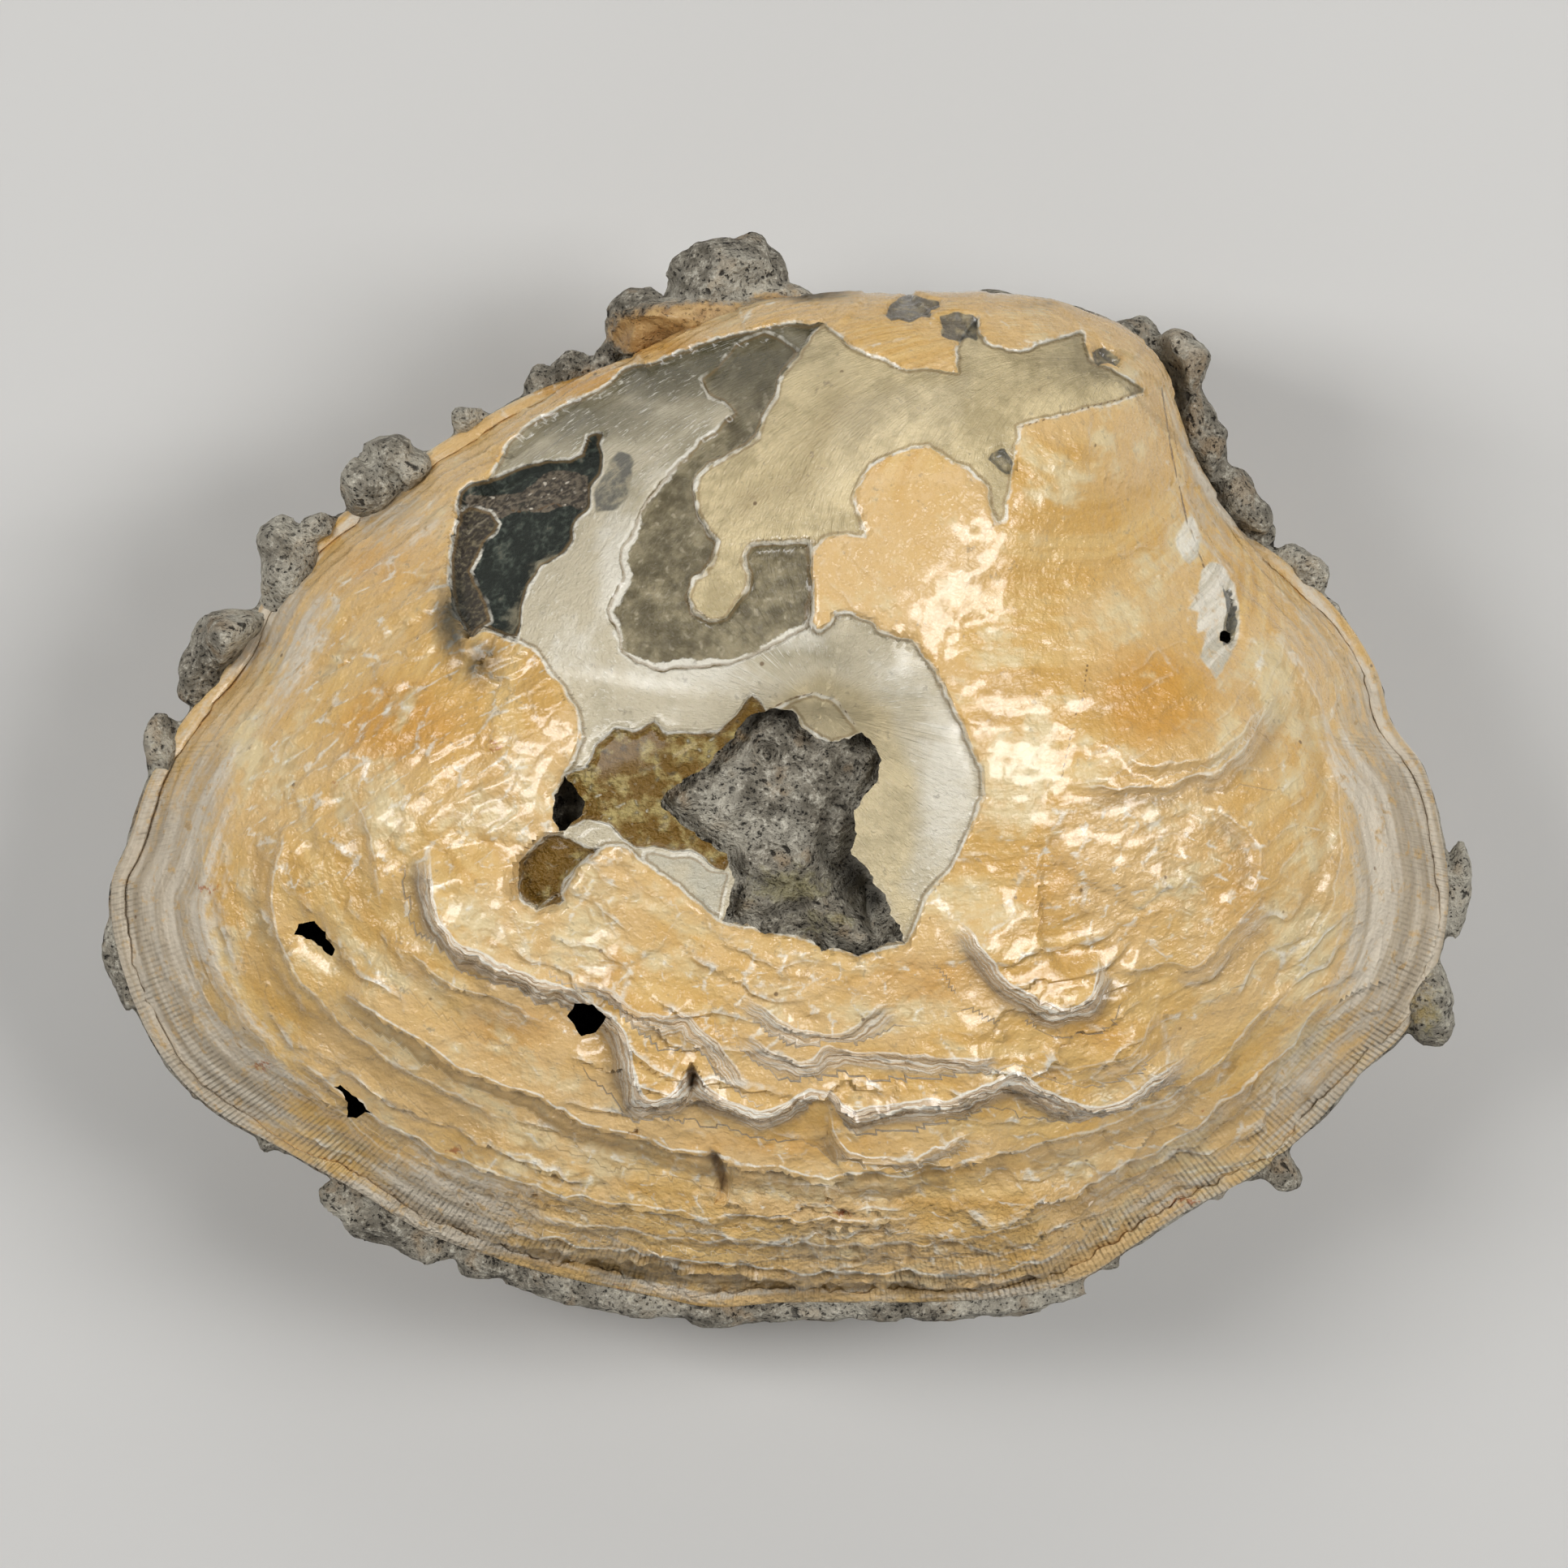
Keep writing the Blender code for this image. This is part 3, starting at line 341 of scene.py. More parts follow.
# Soft-edged patches by name: rows of middle, half sizes in pixels and strength
SPOT_ROWS = {
    "warm": [
        (1420, 860, 85, 60, 1.3), (1340, 1270, 80, 40, 0.8), (500, 890, 110, 60, 1.0),
        (470, 700, 80, 60, 0.5), (1150, 1210, 120, 40, 0.6), (1280, 1080, 70, 60, 0.6),
        (1520, 1090, 50, 90, 0.6), (620, 1270, 90, 40, 0.6), (1360, 610, 90, 80, 0.4),
        (980, 1410, 200, 20, 0.6), (320, 1060, 50, 90, 0.4), (760, 1190, 60, 30, 0.6),
        (1130, 620, 60, 50, 0.3), (850, 430, 120, 16, 0.9), (700, 470, 120, 26, 0.8),
        (1240, 640, 40, 70, 0.4),
    ],
    "pale": [
        (1250, 930, 60, 90, 0.6), (1200, 1110, 50, 40, 0.6), (620, 1010, 90, 60, 0.5),
        (470, 1000, 60, 60, 0.5), (690, 1150, 60, 50, 0.7), (560, 1140, 60, 50, 0.6),
        (1462, 662, 22, 34, 1.0), (1400, 560, 50, 60, 0.3), (1330, 470, 120, 30, 0.7),
        (1500, 900, 40, 60, 0.4), (1600, 1300, 60, 60, 0.5), (900, 1480, 200, 30, 0.3),
        (1380, 760, 50, 30, 0.5), (1570, 860, 26, 70, 0.7), (1240, 800, 40, 60, 0.4),
        (1330, 900, 20, 60, 0.6), (1250, 1010, 50, 60, 0.5), (1460, 1000, 90, 24, 0.5),
        (1600, 980, 60, 120, 0.35), (320, 940, 40, 120, 0.4), (400, 1180, 70, 60, 0.45),
        (560, 1290, 70, 40, 0.4), (1080, 1250, 160, 24, 0.4), (820, 1180, 60, 30, 0.5),
        (1440, 1420, 120, 50, 0.4), (640, 1440, 160, 40, 0.4), (1420, 700, 40, 60, 0.35),
        (1610, 1080, 60, 190, 0.4), (1480, 1100, 80, 60, 0.3), (1320, 590, 110, 80, 0.35),
        (290, 1110, 60, 130, 0.35),
    ],
    # Painted shade along the top margin and in a pit by the beak, a dark smudge left of the window, and
    # darker strips along the bottom margin
    "dark": [
        (556, 765, 28, 62, 0.8), (590, 815, 44, 40, 0.6), (1290, 375, 90, 10, 0.3),
        (1000, 362, 60, 12, 0.8), (780, 1570, 90, 20, 0.5), (620, 1540, 70, 14, 0.3),
        (1365, 438, 14, 10, 0.5), (930, 1590, 120, 14, 0.4),
    ],
    "chalk": [
        (190, 1130, 110, 220, 1.2), (260, 1330, 130, 110, 1.2), (520, 1500, 170, 80, 1.1),
        (1720, 1100, 110, 260, 1.3), (1640, 1360, 110, 100, 0.9), (1500, 560, 60, 160, 0.9),
        (1620, 760, 60, 130, 0.6), (330, 760, 90, 110, 0.9), (470, 620, 90, 70, 0.8),
        (1250, 1590, 160, 36, 0.7), (1060, 1600, 130, 20, 0.5), (250, 1000, 60, 160, 0.8),
        (340, 1280, 120, 60, 0.6), (1690, 900, 70, 140, 0.8), (800, 1590, 260, 30, 0.6),
        (1450, 1480, 160, 50, 0.7),
    ],
    "rust": [
        (255, 1095, 20, 8), (325, 1312, 14, 10), (1460, 1480, 22, 9), (765, 1592, 16, 8),
        (1292, 1600, 14, 8), (612, 920, 14, 9, 0.8), (416, 966, 12, 5), (866, 950, 14, 8, 0.8),
        (1036, 1495, 18, 6), (560, 1416, 12, 8), (1480, 1370, 10, 6, 0.6),
    ],
    # Painted shade towards the top margin, and darker grey patches lower in the grey field
    "shade": [
        (720, 510, 150, 50, 0.8), (920, 445, 110, 60, 1.3), (820, 462, 130, 50, 1.0),
        (1010, 400, 60, 30, 1.2), (1170, 400, 60, 30, 1.0), (700, 620, 40, 60, 0.35),
        (860, 560, 60, 60, 0.4), (1010, 800, 60, 30, 0.4), (770, 600, 30, 60, 0.5),
        (640, 556, 70, 50, 0.55),
    ],
    "dusted": [(680, 700, 50, 24, 1.0), (640, 760, 30, 40, 0.9)],
    # White frost on the pearl and its brown crust, and two patches of painted highlight: in the pearl field
    # left of the hole, and on the nacre ring right of it
    "frost_and_painted_highlight": [
        (765, 700, 40, 90, 1.0), (850, 828, 110, 30, 1.0), (975, 785, 60, 24, 0.8),
        (810, 590, 50, 40, 0.5), (1165, 970, 46, 130, 0.95), (1110, 830, 70, 34, 0.6),
        (700, 800, 60, 60, 0.6),
    ],
    "fan": [(520, 830, 190, 190), (600, 1000, 160, 90, 0.9), (380, 1000, 120, 150, 0.8)],
    "broken": [
        (620, 1090, 180, 110), (1420, 1080, 170, 110), (900, 1230, 300, 70), (1300, 1400, 300, 90),
        (700, 1450, 320, 60), (1000, 1520, 400, 60),
    ],
    "calm": [(1220, 700, 200, 190)],
    # Painted shade in two pits of the sand
    "sand_deep_shade": [(1050, 1075, 22, 30, 0.9), (1078, 1108, 14, 18, 0.9)],
    "sand_crust": [(905, 905, 40, 16, 0.5)],
    "sand_moss": [(970, 1092, 70, 34, 0.9), (1010, 1135, 60, 26, 0.7)],
    "rim_crust": [
        (868, 398, 120, 28, 1.1), (790, 412, 46, 30, 1.0), (1750, 1240, 40, 60, 0.45),
        (960, 378, 50, 22, 0.9), (1576, 1442, 30, 26, 0.3),
    ],
    "rim_moss": [(800, 1600, 200, 40, 0.3), (200, 930, 40, 60, 0.3), (1750, 1250, 50, 60, 0.7)],
}
SPOTS = {name: [Spot(*row) for row in rows] for name, rows in SPOT_ROWS.items()}


def tint(red: float, green: float, blue: float) -> tuple[float, float, float]:
    """A colour in linear light.

    Args:
        red, green, blue: the colour as it looks on screen, from 0 to 255.

    Returns:
        The same colour for a shader.
    """
    shares = [value / 255.0 for value in (red, green, blue)]
    return tuple(s / 12.92 if s <= 0.04045 else ((s + 0.055) / 1.055) ** 2.4 for s in shares)


def smooth(value: Array) -> Array:
    """Ease from 0 to 1 as the value runs from 0 to 1."""
    value = np.clip(value, 0.0, 1.0)
    return value * value * (3.0 - 2.0 * value)


def lattice(ix: Array, iy: Array, iz: Array, seed: int) -> Array:
    """Repeatable values from -1 to 1 at whole-number places."""
    mixed = (ix * 374761393 + iy * 668265263 + iz * 1442695041 + seed * 974634777) & 0xFFFFFFFF
    mixed = ((mixed ^ (mixed >> 13)) * 1274126177) & 0xFFFFFFFF
    return ((mixed ^ (mixed >> 16)) & 0xFFFF) / 32767.5 - 1.0


def lumpiness(points: Array, size: float, seed: int) -> Array:
    """Smooth noise.

    Args:
        points: places, with three columns.
        size: how far apart the lumps are.
        seed: which of the many such noises.

    Returns:
        A value from -1 to 1 for each place.
    """
    scaled = points / size
    whole = np.floor(scaled).astype(np.int64)
    part = smooth(scaled - whole)
    total = np.zeros(len(points))
    for corner in range(8):
        step = np.array([corner & 1, corner >> 1 & 1, corner >> 2 & 1])
        weight = np.prod(np.where(step, part, 1.0 - part), axis=1)
        total += weight * lattice(*(whole + step).T, seed)
    return total


def flat_noise(pixels: Array, size: float, seed: int) -> Array:
    """Smooth noise from -1 to 1 over places on the photograph."""
    return lumpiness(np.column_stack([pixels, np.zeros(len(pixels))]), size, seed)


def octaves(pixels: Array, *parts: tuple[float, float, int]) -> Array:
    """A sum of smooth noises, each with its height, its size in pixels and its seed."""
    return sum(height * flat_noise(pixels, size, seed) for height, size, seed in parts)


def rounded(knots: Knots) -> Knots:
    """An open line with its corners cut, so that it bends softly."""
    line = np.array(knots, float)
    near, far = 0.75 * line[:-1] + 0.25 * line[1:], 0.25 * line[:-1] + 0.75 * line[1:]
    cut = np.stack([near, far], axis=1).reshape(-1, 2)
    return [tuple(line[0]), *map(tuple, cut[1:-1]), tuple(line[-1])]


def facets(pixels: Array, across: float, down: float, turn: float, seed: int) -> tuple[Array, Array]:
    """Overlapping flakes, each a slightly tilted plate.

    Args:
        pixels: places on the photograph.
        across, down: size of a flake, in pixels.
        turn: how far the flakes are turned, in radians.
        seed: which of the many such patterns.

    Returns:
        A height from about -1 to 1 for each place, and its distance from a flake's edge in pixels.
    """
    cosine, sine = math.cos(turn), math.sin(turn)
    u = (pixels[:, 0] * cosine + pixels[:, 1] * sine) / across
    v = (pixels[:, 1] * cosine - pixels[:, 0] * sine) / down
    cell_u, cell_v = np.floor(u).astype(np.int64), np.floor(v).astype(np.int64)
    nothing = np.zeros_like(cell_u)
    nearest = np.full(len(u), np.inf)
    second = np.full(len(u), np.inf)
    height = np.zeros(len(u))
    for i in (-1, 0, 1):
        for j in (-1, 0, 1):
            cu, cv = cell_u + i, cell_v + j
            away_u = u - cu - 0.5 - 0.42 * lattice(cu, cv, nothing, seed)
            away_v = v - cv - 0.5 - 0.42 * lattice(cu, cv, nothing, seed + 1)
            distance = np.hypot(away_u, away_v)
            closer = distance < nearest
            second = np.where(closer, nearest, np.minimum(second, distance))
            nearest = np.where(closer, distance, nearest)
            plate = 0.5 * lattice(cu, cv, nothing, seed + 2) + away_u * lattice(cu, cv, nothing, seed + 3)
            height = np.where(closer, plate + 0.5 * away_v, height)
    return height, (second - nearest) * min(across, down) * 0.5


def curve_through(knots: Knots, steps: int) -> Array:
    """Closed smooth curve.

    Args:
        knots: the points that it runs through.
        steps: how many steps it takes from one knot to the next.

    Returns:
        The points of the curve.
    """
    points = np.array(knots, float)
    before, after = np.roll(points, 1, axis=0), np.roll(points, -1, axis=0)
    beyond = np.roll(points, -2, axis=0)
    rows = []
    for step in range(steps):
        t = step / steps
        rows.append(0.5 * (
            2 * points + (after - before) * t
            + (2 * before - 5 * points + 4 * after - beyond) * t ** 2
            + (3 * points - before - 3 * after + beyond) * t ** 3
        ))
    return np.stack(rows, axis=1).reshape(-1, 2)


def nearest_on_line(pixels: Array, line: Knots, closed: bool) -> tuple[Array, Array, Array, float]:
    """Where places lie against a line.

    Args:
        pixels: the places.
        line: the line's points.
        closed: whether its last point is joined to its first.

    Returns:
        Distance in pixels, side, place along the line, and the line's length.
    """
    knots = np.array(line, float)
    ends = np.roll(knots, -1, axis=0) if closed else knots[1:]
    starts = knots if closed else knots[:-1]
    best = np.full(len(pixels), np.inf)
    side = np.zeros(len(pixels))
    along = np.zeros(len(pixels))
    run = 0.0
    for start, end in zip(starts, ends):
        way = end - start
        length = max(math.hypot(*way), 1e-6)
        away = pixels - start
        t = np.clip(away @ way / length ** 2, 0.0, 1.0)
        distance = np.hypot(*(away - t[:, None] * way).T)
        closer = distance < best
        best[closer] = distance[closer]
        side[closer] = np.sign(way[1] * away[:, 0] - way[0] * away[:, 1])[closer]
        along[closer] = (run + t * length)[closer]
        run += length
    return best, side, along, run


def inside(pixels: Array, outline: Knots) -> Array:
    """Depth in pixels inside a closed outline, negative outside it."""
    points = np.array(outline, float)
    crossed = np.zeros(len(pixels), bool)
    x, y = pixels.T
    for (x0, y0), (x1, y1) in zip(points, np.roll(points, -1, axis=0)):
        if y0 != y1:
            crossed ^= ((y0 > y) != (y1 > y)) & (x < (x1 - x0) * (y - y0) / (y1 - y0) + x0)
    distance = nearest_on_line(pixels, points, True)[0]
    return np.where(crossed, distance, -distance)


def patches(pixels: Array, spots: Sequence[Spot]) -> Array:
    """How strongly soft-edged patches cover each place."""
    total = np.zeros(len(pixels))
    for spot in spots:
        away = ((pixels[:, 0] - spot.x) / spot.across) ** 2 + ((pixels[:, 1] - spot.y) / spot.down) ** 2
        total = np.maximum(total, spot.strength * np.exp(-away))
    return total


@dataclass(frozen=True)
class ClamForm:
    """The clam's sizes, and the smooth form of its valves, as its solids have them."""

    length: float = 0.1108
    length_px: float = 1662.0
    middle_px: tuple[float, float] = (967.0, 968.0)
    crown_px: tuple[float, float] = (1010.0, 880.0)
    beak_px: tuple[float, float] = (1380.0, 470.0)
    view_distance: float = 0.716
    depth: float = 0.0280
    wall: float = 0.0030
    rim_wall: float = 0.0042
    seam: float = 0.0010
    filling_inset: float = 0.0008
    arch_power: float = 2.35
    margin_rise: float = 0.0012
    umbo_rise: float = 0.0095
    umbo_tuck: float = 0.0062
    margin_tuck: float = 0.0004
    umbo_turn: float = math.radians(74.0)
    umbo_spread: float = math.radians(66.0)
    shift: tuple[float, float, float] = (-0.000178, 0.000150, 0.0273)

    @property
    def pixel(self) -> float:
        """Metres at the seam in a pixel of the photograph."""
        return self.length / self.length_px

    @property
    def per_mm(self) -> float:
        """Pixels of the photograph in a millimetre at the seam."""
        return MILLIMETRE / self.pixel

    def in_plan(self, pixels: Knots) -> Array:
        """Places at the seam, in metres, of photograph pixels."""
        return (np.array(pixels, float) - self.middle_px) * self.pixel * (1.0, -1.0)

    def below(self, points: Array) -> Array:
        """Photograph pixels that lie straight over points of the shell."""
        return points[:, :2] * (1.0, -1.0) / self.pixel + self.middle_px

    def in_photo(self, points: Array) -> Array:
        """Photograph pixels in which points of the shell are seen from above."""
        closer = self.view_distance / (self.view_distance - points[:, 2])
        return points[:, :2] * closer[:, None] * (1.0, -1.0) / self.pixel + self.middle_px

    def reach_from(self, centre_px: tuple[float, float], angles: Array) -> Array:
        """Distance from a centre to the valve's outline, in each direction."""
        rim = self.in_plan(curve_through(VALVE_OUTLINE, 8)) - self.in_plan(centre_px)
        bearing = np.arctan2(rim[:, 1], rim[:, 0])
        order = np.argsort(bearing)
        return np.interp(angles, bearing[order], np.hypot(*rim.T)[order], period=2 * math.pi)

    def depth_in(self, pixels: Array, outline: Knots) -> Array:
        """Millimetres inside a closed outline, negative outside it."""
        return inside(pixels, outline) / self.per_mm

    def from_margin(self, pixels: Array) -> Array:
        """Millimetres inside the valve's own outline."""
        return self.depth_in(pixels, curve_through(VALVE_OUTLINE, 4))

    def growth_age(self, pixels: Array) -> Array:
        """0 at the beak and 1 at the margin, along the way in which the shell grew."""
        away = self.in_plan(pixels) - self.in_plan(self.beak_px)
        reach = self.reach_from(self.beak_px, np.arctan2(away[:, 1], away[:, 0]))
        return np.hypot(*away.T) / reach

    def umbo_share(self, bearing: Array) -> Array:
        """1 where the umbo rolls over the hinge, easing to 0 along the rest of the margin."""
        turn = np.abs(np.angle(np.exp(1j * (bearing - self.umbo_turn))))
        return smooth(1.0 - turn / self.umbo_spread)

    def around_crown(self, bearing: Array, radius: Array, height: Array) -> Array:
        """Points at a bearing, radius and height about the crown."""
        middle = self.in_plan(self.crown_px)
        return np.column_stack([
            middle[0] + radius * np.cos(bearing), middle[1] + radius * np.sin(bearing), height
        ])

    def outer_arch(self, bearing: Array, share: Array) -> Array:
        """The smooth outside of a valve.

        Args:
            bearing: direction from the crown.
            share: share of the way from the crown over the umbo to the seam.

        Returns:
            Points with the seam at height 0.
        """
        umbo = self.umbo_share(bearing)
        rise = self.seam + self.margin_rise + self.umbo_rise * umbo
        reach = self.reach_from(self.crown_px, bearing) * (1.0 - rise / self.view_distance)
        turn = 0.96 - 0.14 * umbo
        over = np.clip(share / turn, 0.0, 1.0)
        out = (1.0 - umbo) * over + umbo * np.sin(over * math.pi / 2)
        arch = np.clip(1.0 - out ** self.arch_power, 0.0, 1.0) ** (1.0 - 0.5 * umbo)
        under = np.clip((share - turn) / (1.0 - turn), 0.0, 1.0) * math.pi / 2
        tuck = self.margin_tuck + self.umbo_tuck * umbo
        radius = reach * out - tuck * (1.0 - np.cos(under))
        height = np.where(
            share < turn, rise + (self.depth - rise) * arch,
            self.seam + (rise - self.seam) * (1.0 - np.sin(under)),
        )
        return self.around_crown(bearing, radius, height)

    def inner_arch(self, bearing: Array, share: Array, inset: float) -> Array:
        """The smooth hollow of a valve, or the filling that stands back from it by the inset."""
        umbo = self.umbo_share(bearing)
        reach = self.reach_from(self.crown_px, bearing) - self.umbo_tuck * umbo - self.rim_wall - 1.8 * inset
        out = np.sin(share * math.pi / 2)
        arch = np.clip(1.0 - out ** self.arch_power, 0.0, 1.0) ** (0.75 - 0.2 * umbo)
        return self.around_crown(bearing, reach * out, (self.depth - self.wall - inset) * arch)


class Bench:
    """Blender's modelling tools, used on one piece at a time as by hand."""

    touching = 1e-6

    @staticmethod
    def take(piece: bpy.types.Object) -> None:
        """Select one piece alone and make it the active one."""
        bpy.ops.object.select_all(action="DESELECT")
        piece.select_set(True)
        bpy.context.view_layer.objects.active = piece

    @staticmethod
    def points(piece: bpy.types.Object) -> Array:
        """The places of a piece's vertices."""
        places = np.empty(len(piece.data.vertices) * 3)
        piece.data.vertices.foreach_get("co", places)
        return places.reshape(-1, 3)

    @staticmethod
    def move(piece: bpy.types.Object, points: Array) -> None:
        """Move a piece's vertices."""
        piece.data.vertices.foreach_set("co", points.astype(np.float32).ravel())
        piece.data.update()

    @staticmethod
    def normals(piece: bpy.types.Object) -> Array:
        """The directions in which a piece's vertices face."""
        found = np.empty(len(piece.data.vertices) * 3)
        piece.data.vertices.foreach_get("normal", found)
        return found.reshape(-1, 3)

    @classmethod
    def half_ball(cls, name: str, cells: int) -> bpy.types.Object:
        """The upper half of an even, round grid.

        Args:
            name: the piece's name.
            cells: cells from the crown to the rim, an even number.

        Returns:
            A cube's grid blown up to a unit ball, open at its rim.
        """
        bpy.ops.object.select_all(action="DESELECT")
        bpy.ops.mesh.primitive_cube_add(size=2.0)
        piece = bpy.context.object
        piece.name = name
        bpy.ops.object.mode_set(mode="EDIT")
        bpy.ops.mesh.select_all(action="SELECT")
        bpy.ops.mesh.subdivide(number_cuts=cells // 2 - 1)
        bpy.ops.mesh.subdivide(number_cuts=1)
        bpy.ops.mesh.select_all(action="DESELECT")
        bpy.ops.object.mode_set(mode="OBJECT")
        below = cls.points(piece)[:, 2] < -cls.touching
        piece.data.vertices.foreach_set("select", below)
        bpy.ops.object.mode_set(mode="EDIT")
        bpy.ops.mesh.delete(type="VERT")
        bpy.ops.object.mode_set(mode="OBJECT")
        grid = np.tan(cls.points(piece) * math.pi / 4)
        cls.move(piece, grid / np.linalg.norm(grid, axis=1)[:, None])
        return piece

    @classmethod
    def spread(cls, piece: bpy.types.Object) -> tuple[Array, Array]:
        """Bearing of each vertex about the crown, and its share of the way from crown to rim."""
        places = cls.points(piece)
        bearing = np.arctan2(places[:, 1], places[:, 0])
        return bearing, np.arccos(np.clip(places[:, 2], 0.0, 1.0)) / (math.pi / 2)

    @classmethod
    def close(cls, piece: bpy.types.Object) -> None:
        """Close a piece's open rim with one face and turn its faces outwards."""
        cls.take(piece)
        bpy.ops.object.mode_set(mode="EDIT")
        bpy.ops.mesh.select_mode(type="EDGE")
        bpy.ops.mesh.select_all(action="DESELECT")
        bpy.ops.mesh.select_non_manifold()
        bpy.ops.mesh.edge_face_add()
        bpy.ops.mesh.select_all(action="SELECT")
        bpy.ops.mesh.normals_make_consistent(inside=False)
        bpy.ops.mesh.select_mode(type="VERT")
        bpy.ops.object.mode_set(mode="OBJECT")

    @classmethod
    def apply(cls, piece: bpy.types.Object) -> None:
        """Apply all of a piece's modifiers."""
        cls.take(piece)
        for modifier in list(piece.modifiers):
            bpy.ops.object.modifier_apply(modifier=modifier.name)

    @classmethod
    def cut(cls, piece: bpy.types.Object, cutter: bpy.types.Object) -> None:
        """Cut a piece with another one, which is then put away."""
        modifier = piece.modifiers.new("cut", "BOOLEAN")
        modifier.operation = "DIFFERENCE"
        modifier.solver = "EXACT"
        modifier.object = cutter
        cls.apply(piece)
        bpy.data.objects.remove(cutter)

    @classmethod
    def face_out(cls, piece: bpy.types.Object) -> None:
        """Turn a closed piece's faces outwards."""
        cls.take(piece)
        bpy.ops.object.mode_set(mode="EDIT")
        bpy.ops.mesh.select_all(action="SELECT")
        bpy.ops.mesh.normals_make_consistent(inside=False)
        bpy.ops.object.mode_set(mode="OBJECT")

    @classmethod
    def mirror_down(cls, piece: bpy.types.Object) -> None:
        """Mirror a piece to below the seam, with its faces outwards."""
        cls.move(piece, cls.points(piece) * (1.0, 1.0, -1.0))
        cls.face_out(piece)

    @classmethod
    def soften(cls, piece: bpy.types.Object, degrees: float) -> None:
        """Shade a piece smooth, apart from edges sharper than the angle."""
        cls.take(piece)
        bpy.ops.object.shade_smooth_by_angle(angle=math.radians(degrees))

    @staticmethod
    def note(piece: bpy.types.Object, name: str, values: Array) -> None:
        """Keep a number for each vertex, for the finishes to read."""
        kept = piece.data.attributes.new(name, "FLOAT", "POINT")
        kept.data.foreach_set("value", values.astype(np.float32))

    @staticmethod
    def mesh_piece(name: str, points: Array, faces: Sequence) -> bpy.types.Object:
        """A piece made of the given points and faces."""
        mesh = bpy.data.meshes.new(name)
        mesh.from_pydata([tuple(p) for p in points], [], [tuple(f) for f in faces])
        piece = bpy.data.objects.new(name, mesh)
        bpy.context.scene.collection.objects.link(piece)
        return piece


class Value:
    """A shader value that takes part in sums, so that shader maths reads like arithmetic."""

    def __init__(self, graph: "Graph", socket: bpy.types.NodeSocket) -> None:
        """Wrap an output socket of the graph."""
        self.graph = graph
        self.socket = socket

    def maths(self, operation: str, *others: "Value | float", swap: bool = False) -> "Value":
        """The result of a Math node on this value and others.

        Args:
            operation: the node's operation.
            others: the other values.
            swap: whether this value comes last.

        Returns:
            The node's result.
        """
        terms = [*others, self] if swap else [self, *others]
        return self.graph.node("ShaderNodeMath", {"operation": operation}, dict(enumerate(terms)))

    def __add__(self, other: "Value | float") -> "Value":
        """This value plus another."""
        return self.maths("ADD", other)

    __radd__ = __add__

    def __mul__(self, other: "Value | float") -> "Value":
        """This value times another."""
        return self.maths("MULTIPLY", other)

    __rmul__ = __mul__

    def __sub__(self, other: "Value | float") -> "Value":
        """This value less another."""
        return self.maths("SUBTRACT", other)

    def __rsub__(self, other: float) -> "Value":
        """Another value less this one."""
        return self.maths("SUBTRACT", other, swap=True)

    def __truediv__(self, other: "Value | float") -> "Value":
        """This value over another."""
        return self.maths("DIVIDE", other)

    def size(self) -> "Value":
        """This value without its sign."""
        return self.maths("ABSOLUTE")

    def sine(self) -> "Value":
        """The sine of this value."""
        return self.maths("SINE")

    def most(self, other: "Value | float") -> "Value":
        """The larger of this value and another."""
        return self.maths("MAXIMUM", other)

    def ease(self, low: float, high: float) -> "Value":
        """From 0 at the low value to 1 at the high one, eased at both ends."""
        ends = (high, low, 1.0, 0.0) if low > high else (low, high, 0.0, 1.0)
        inputs = dict(enumerate((self, *ends)))
        return self.graph.node("ShaderNodeMapRange", {"interpolation_type": "SMOOTHSTEP"}, inputs)


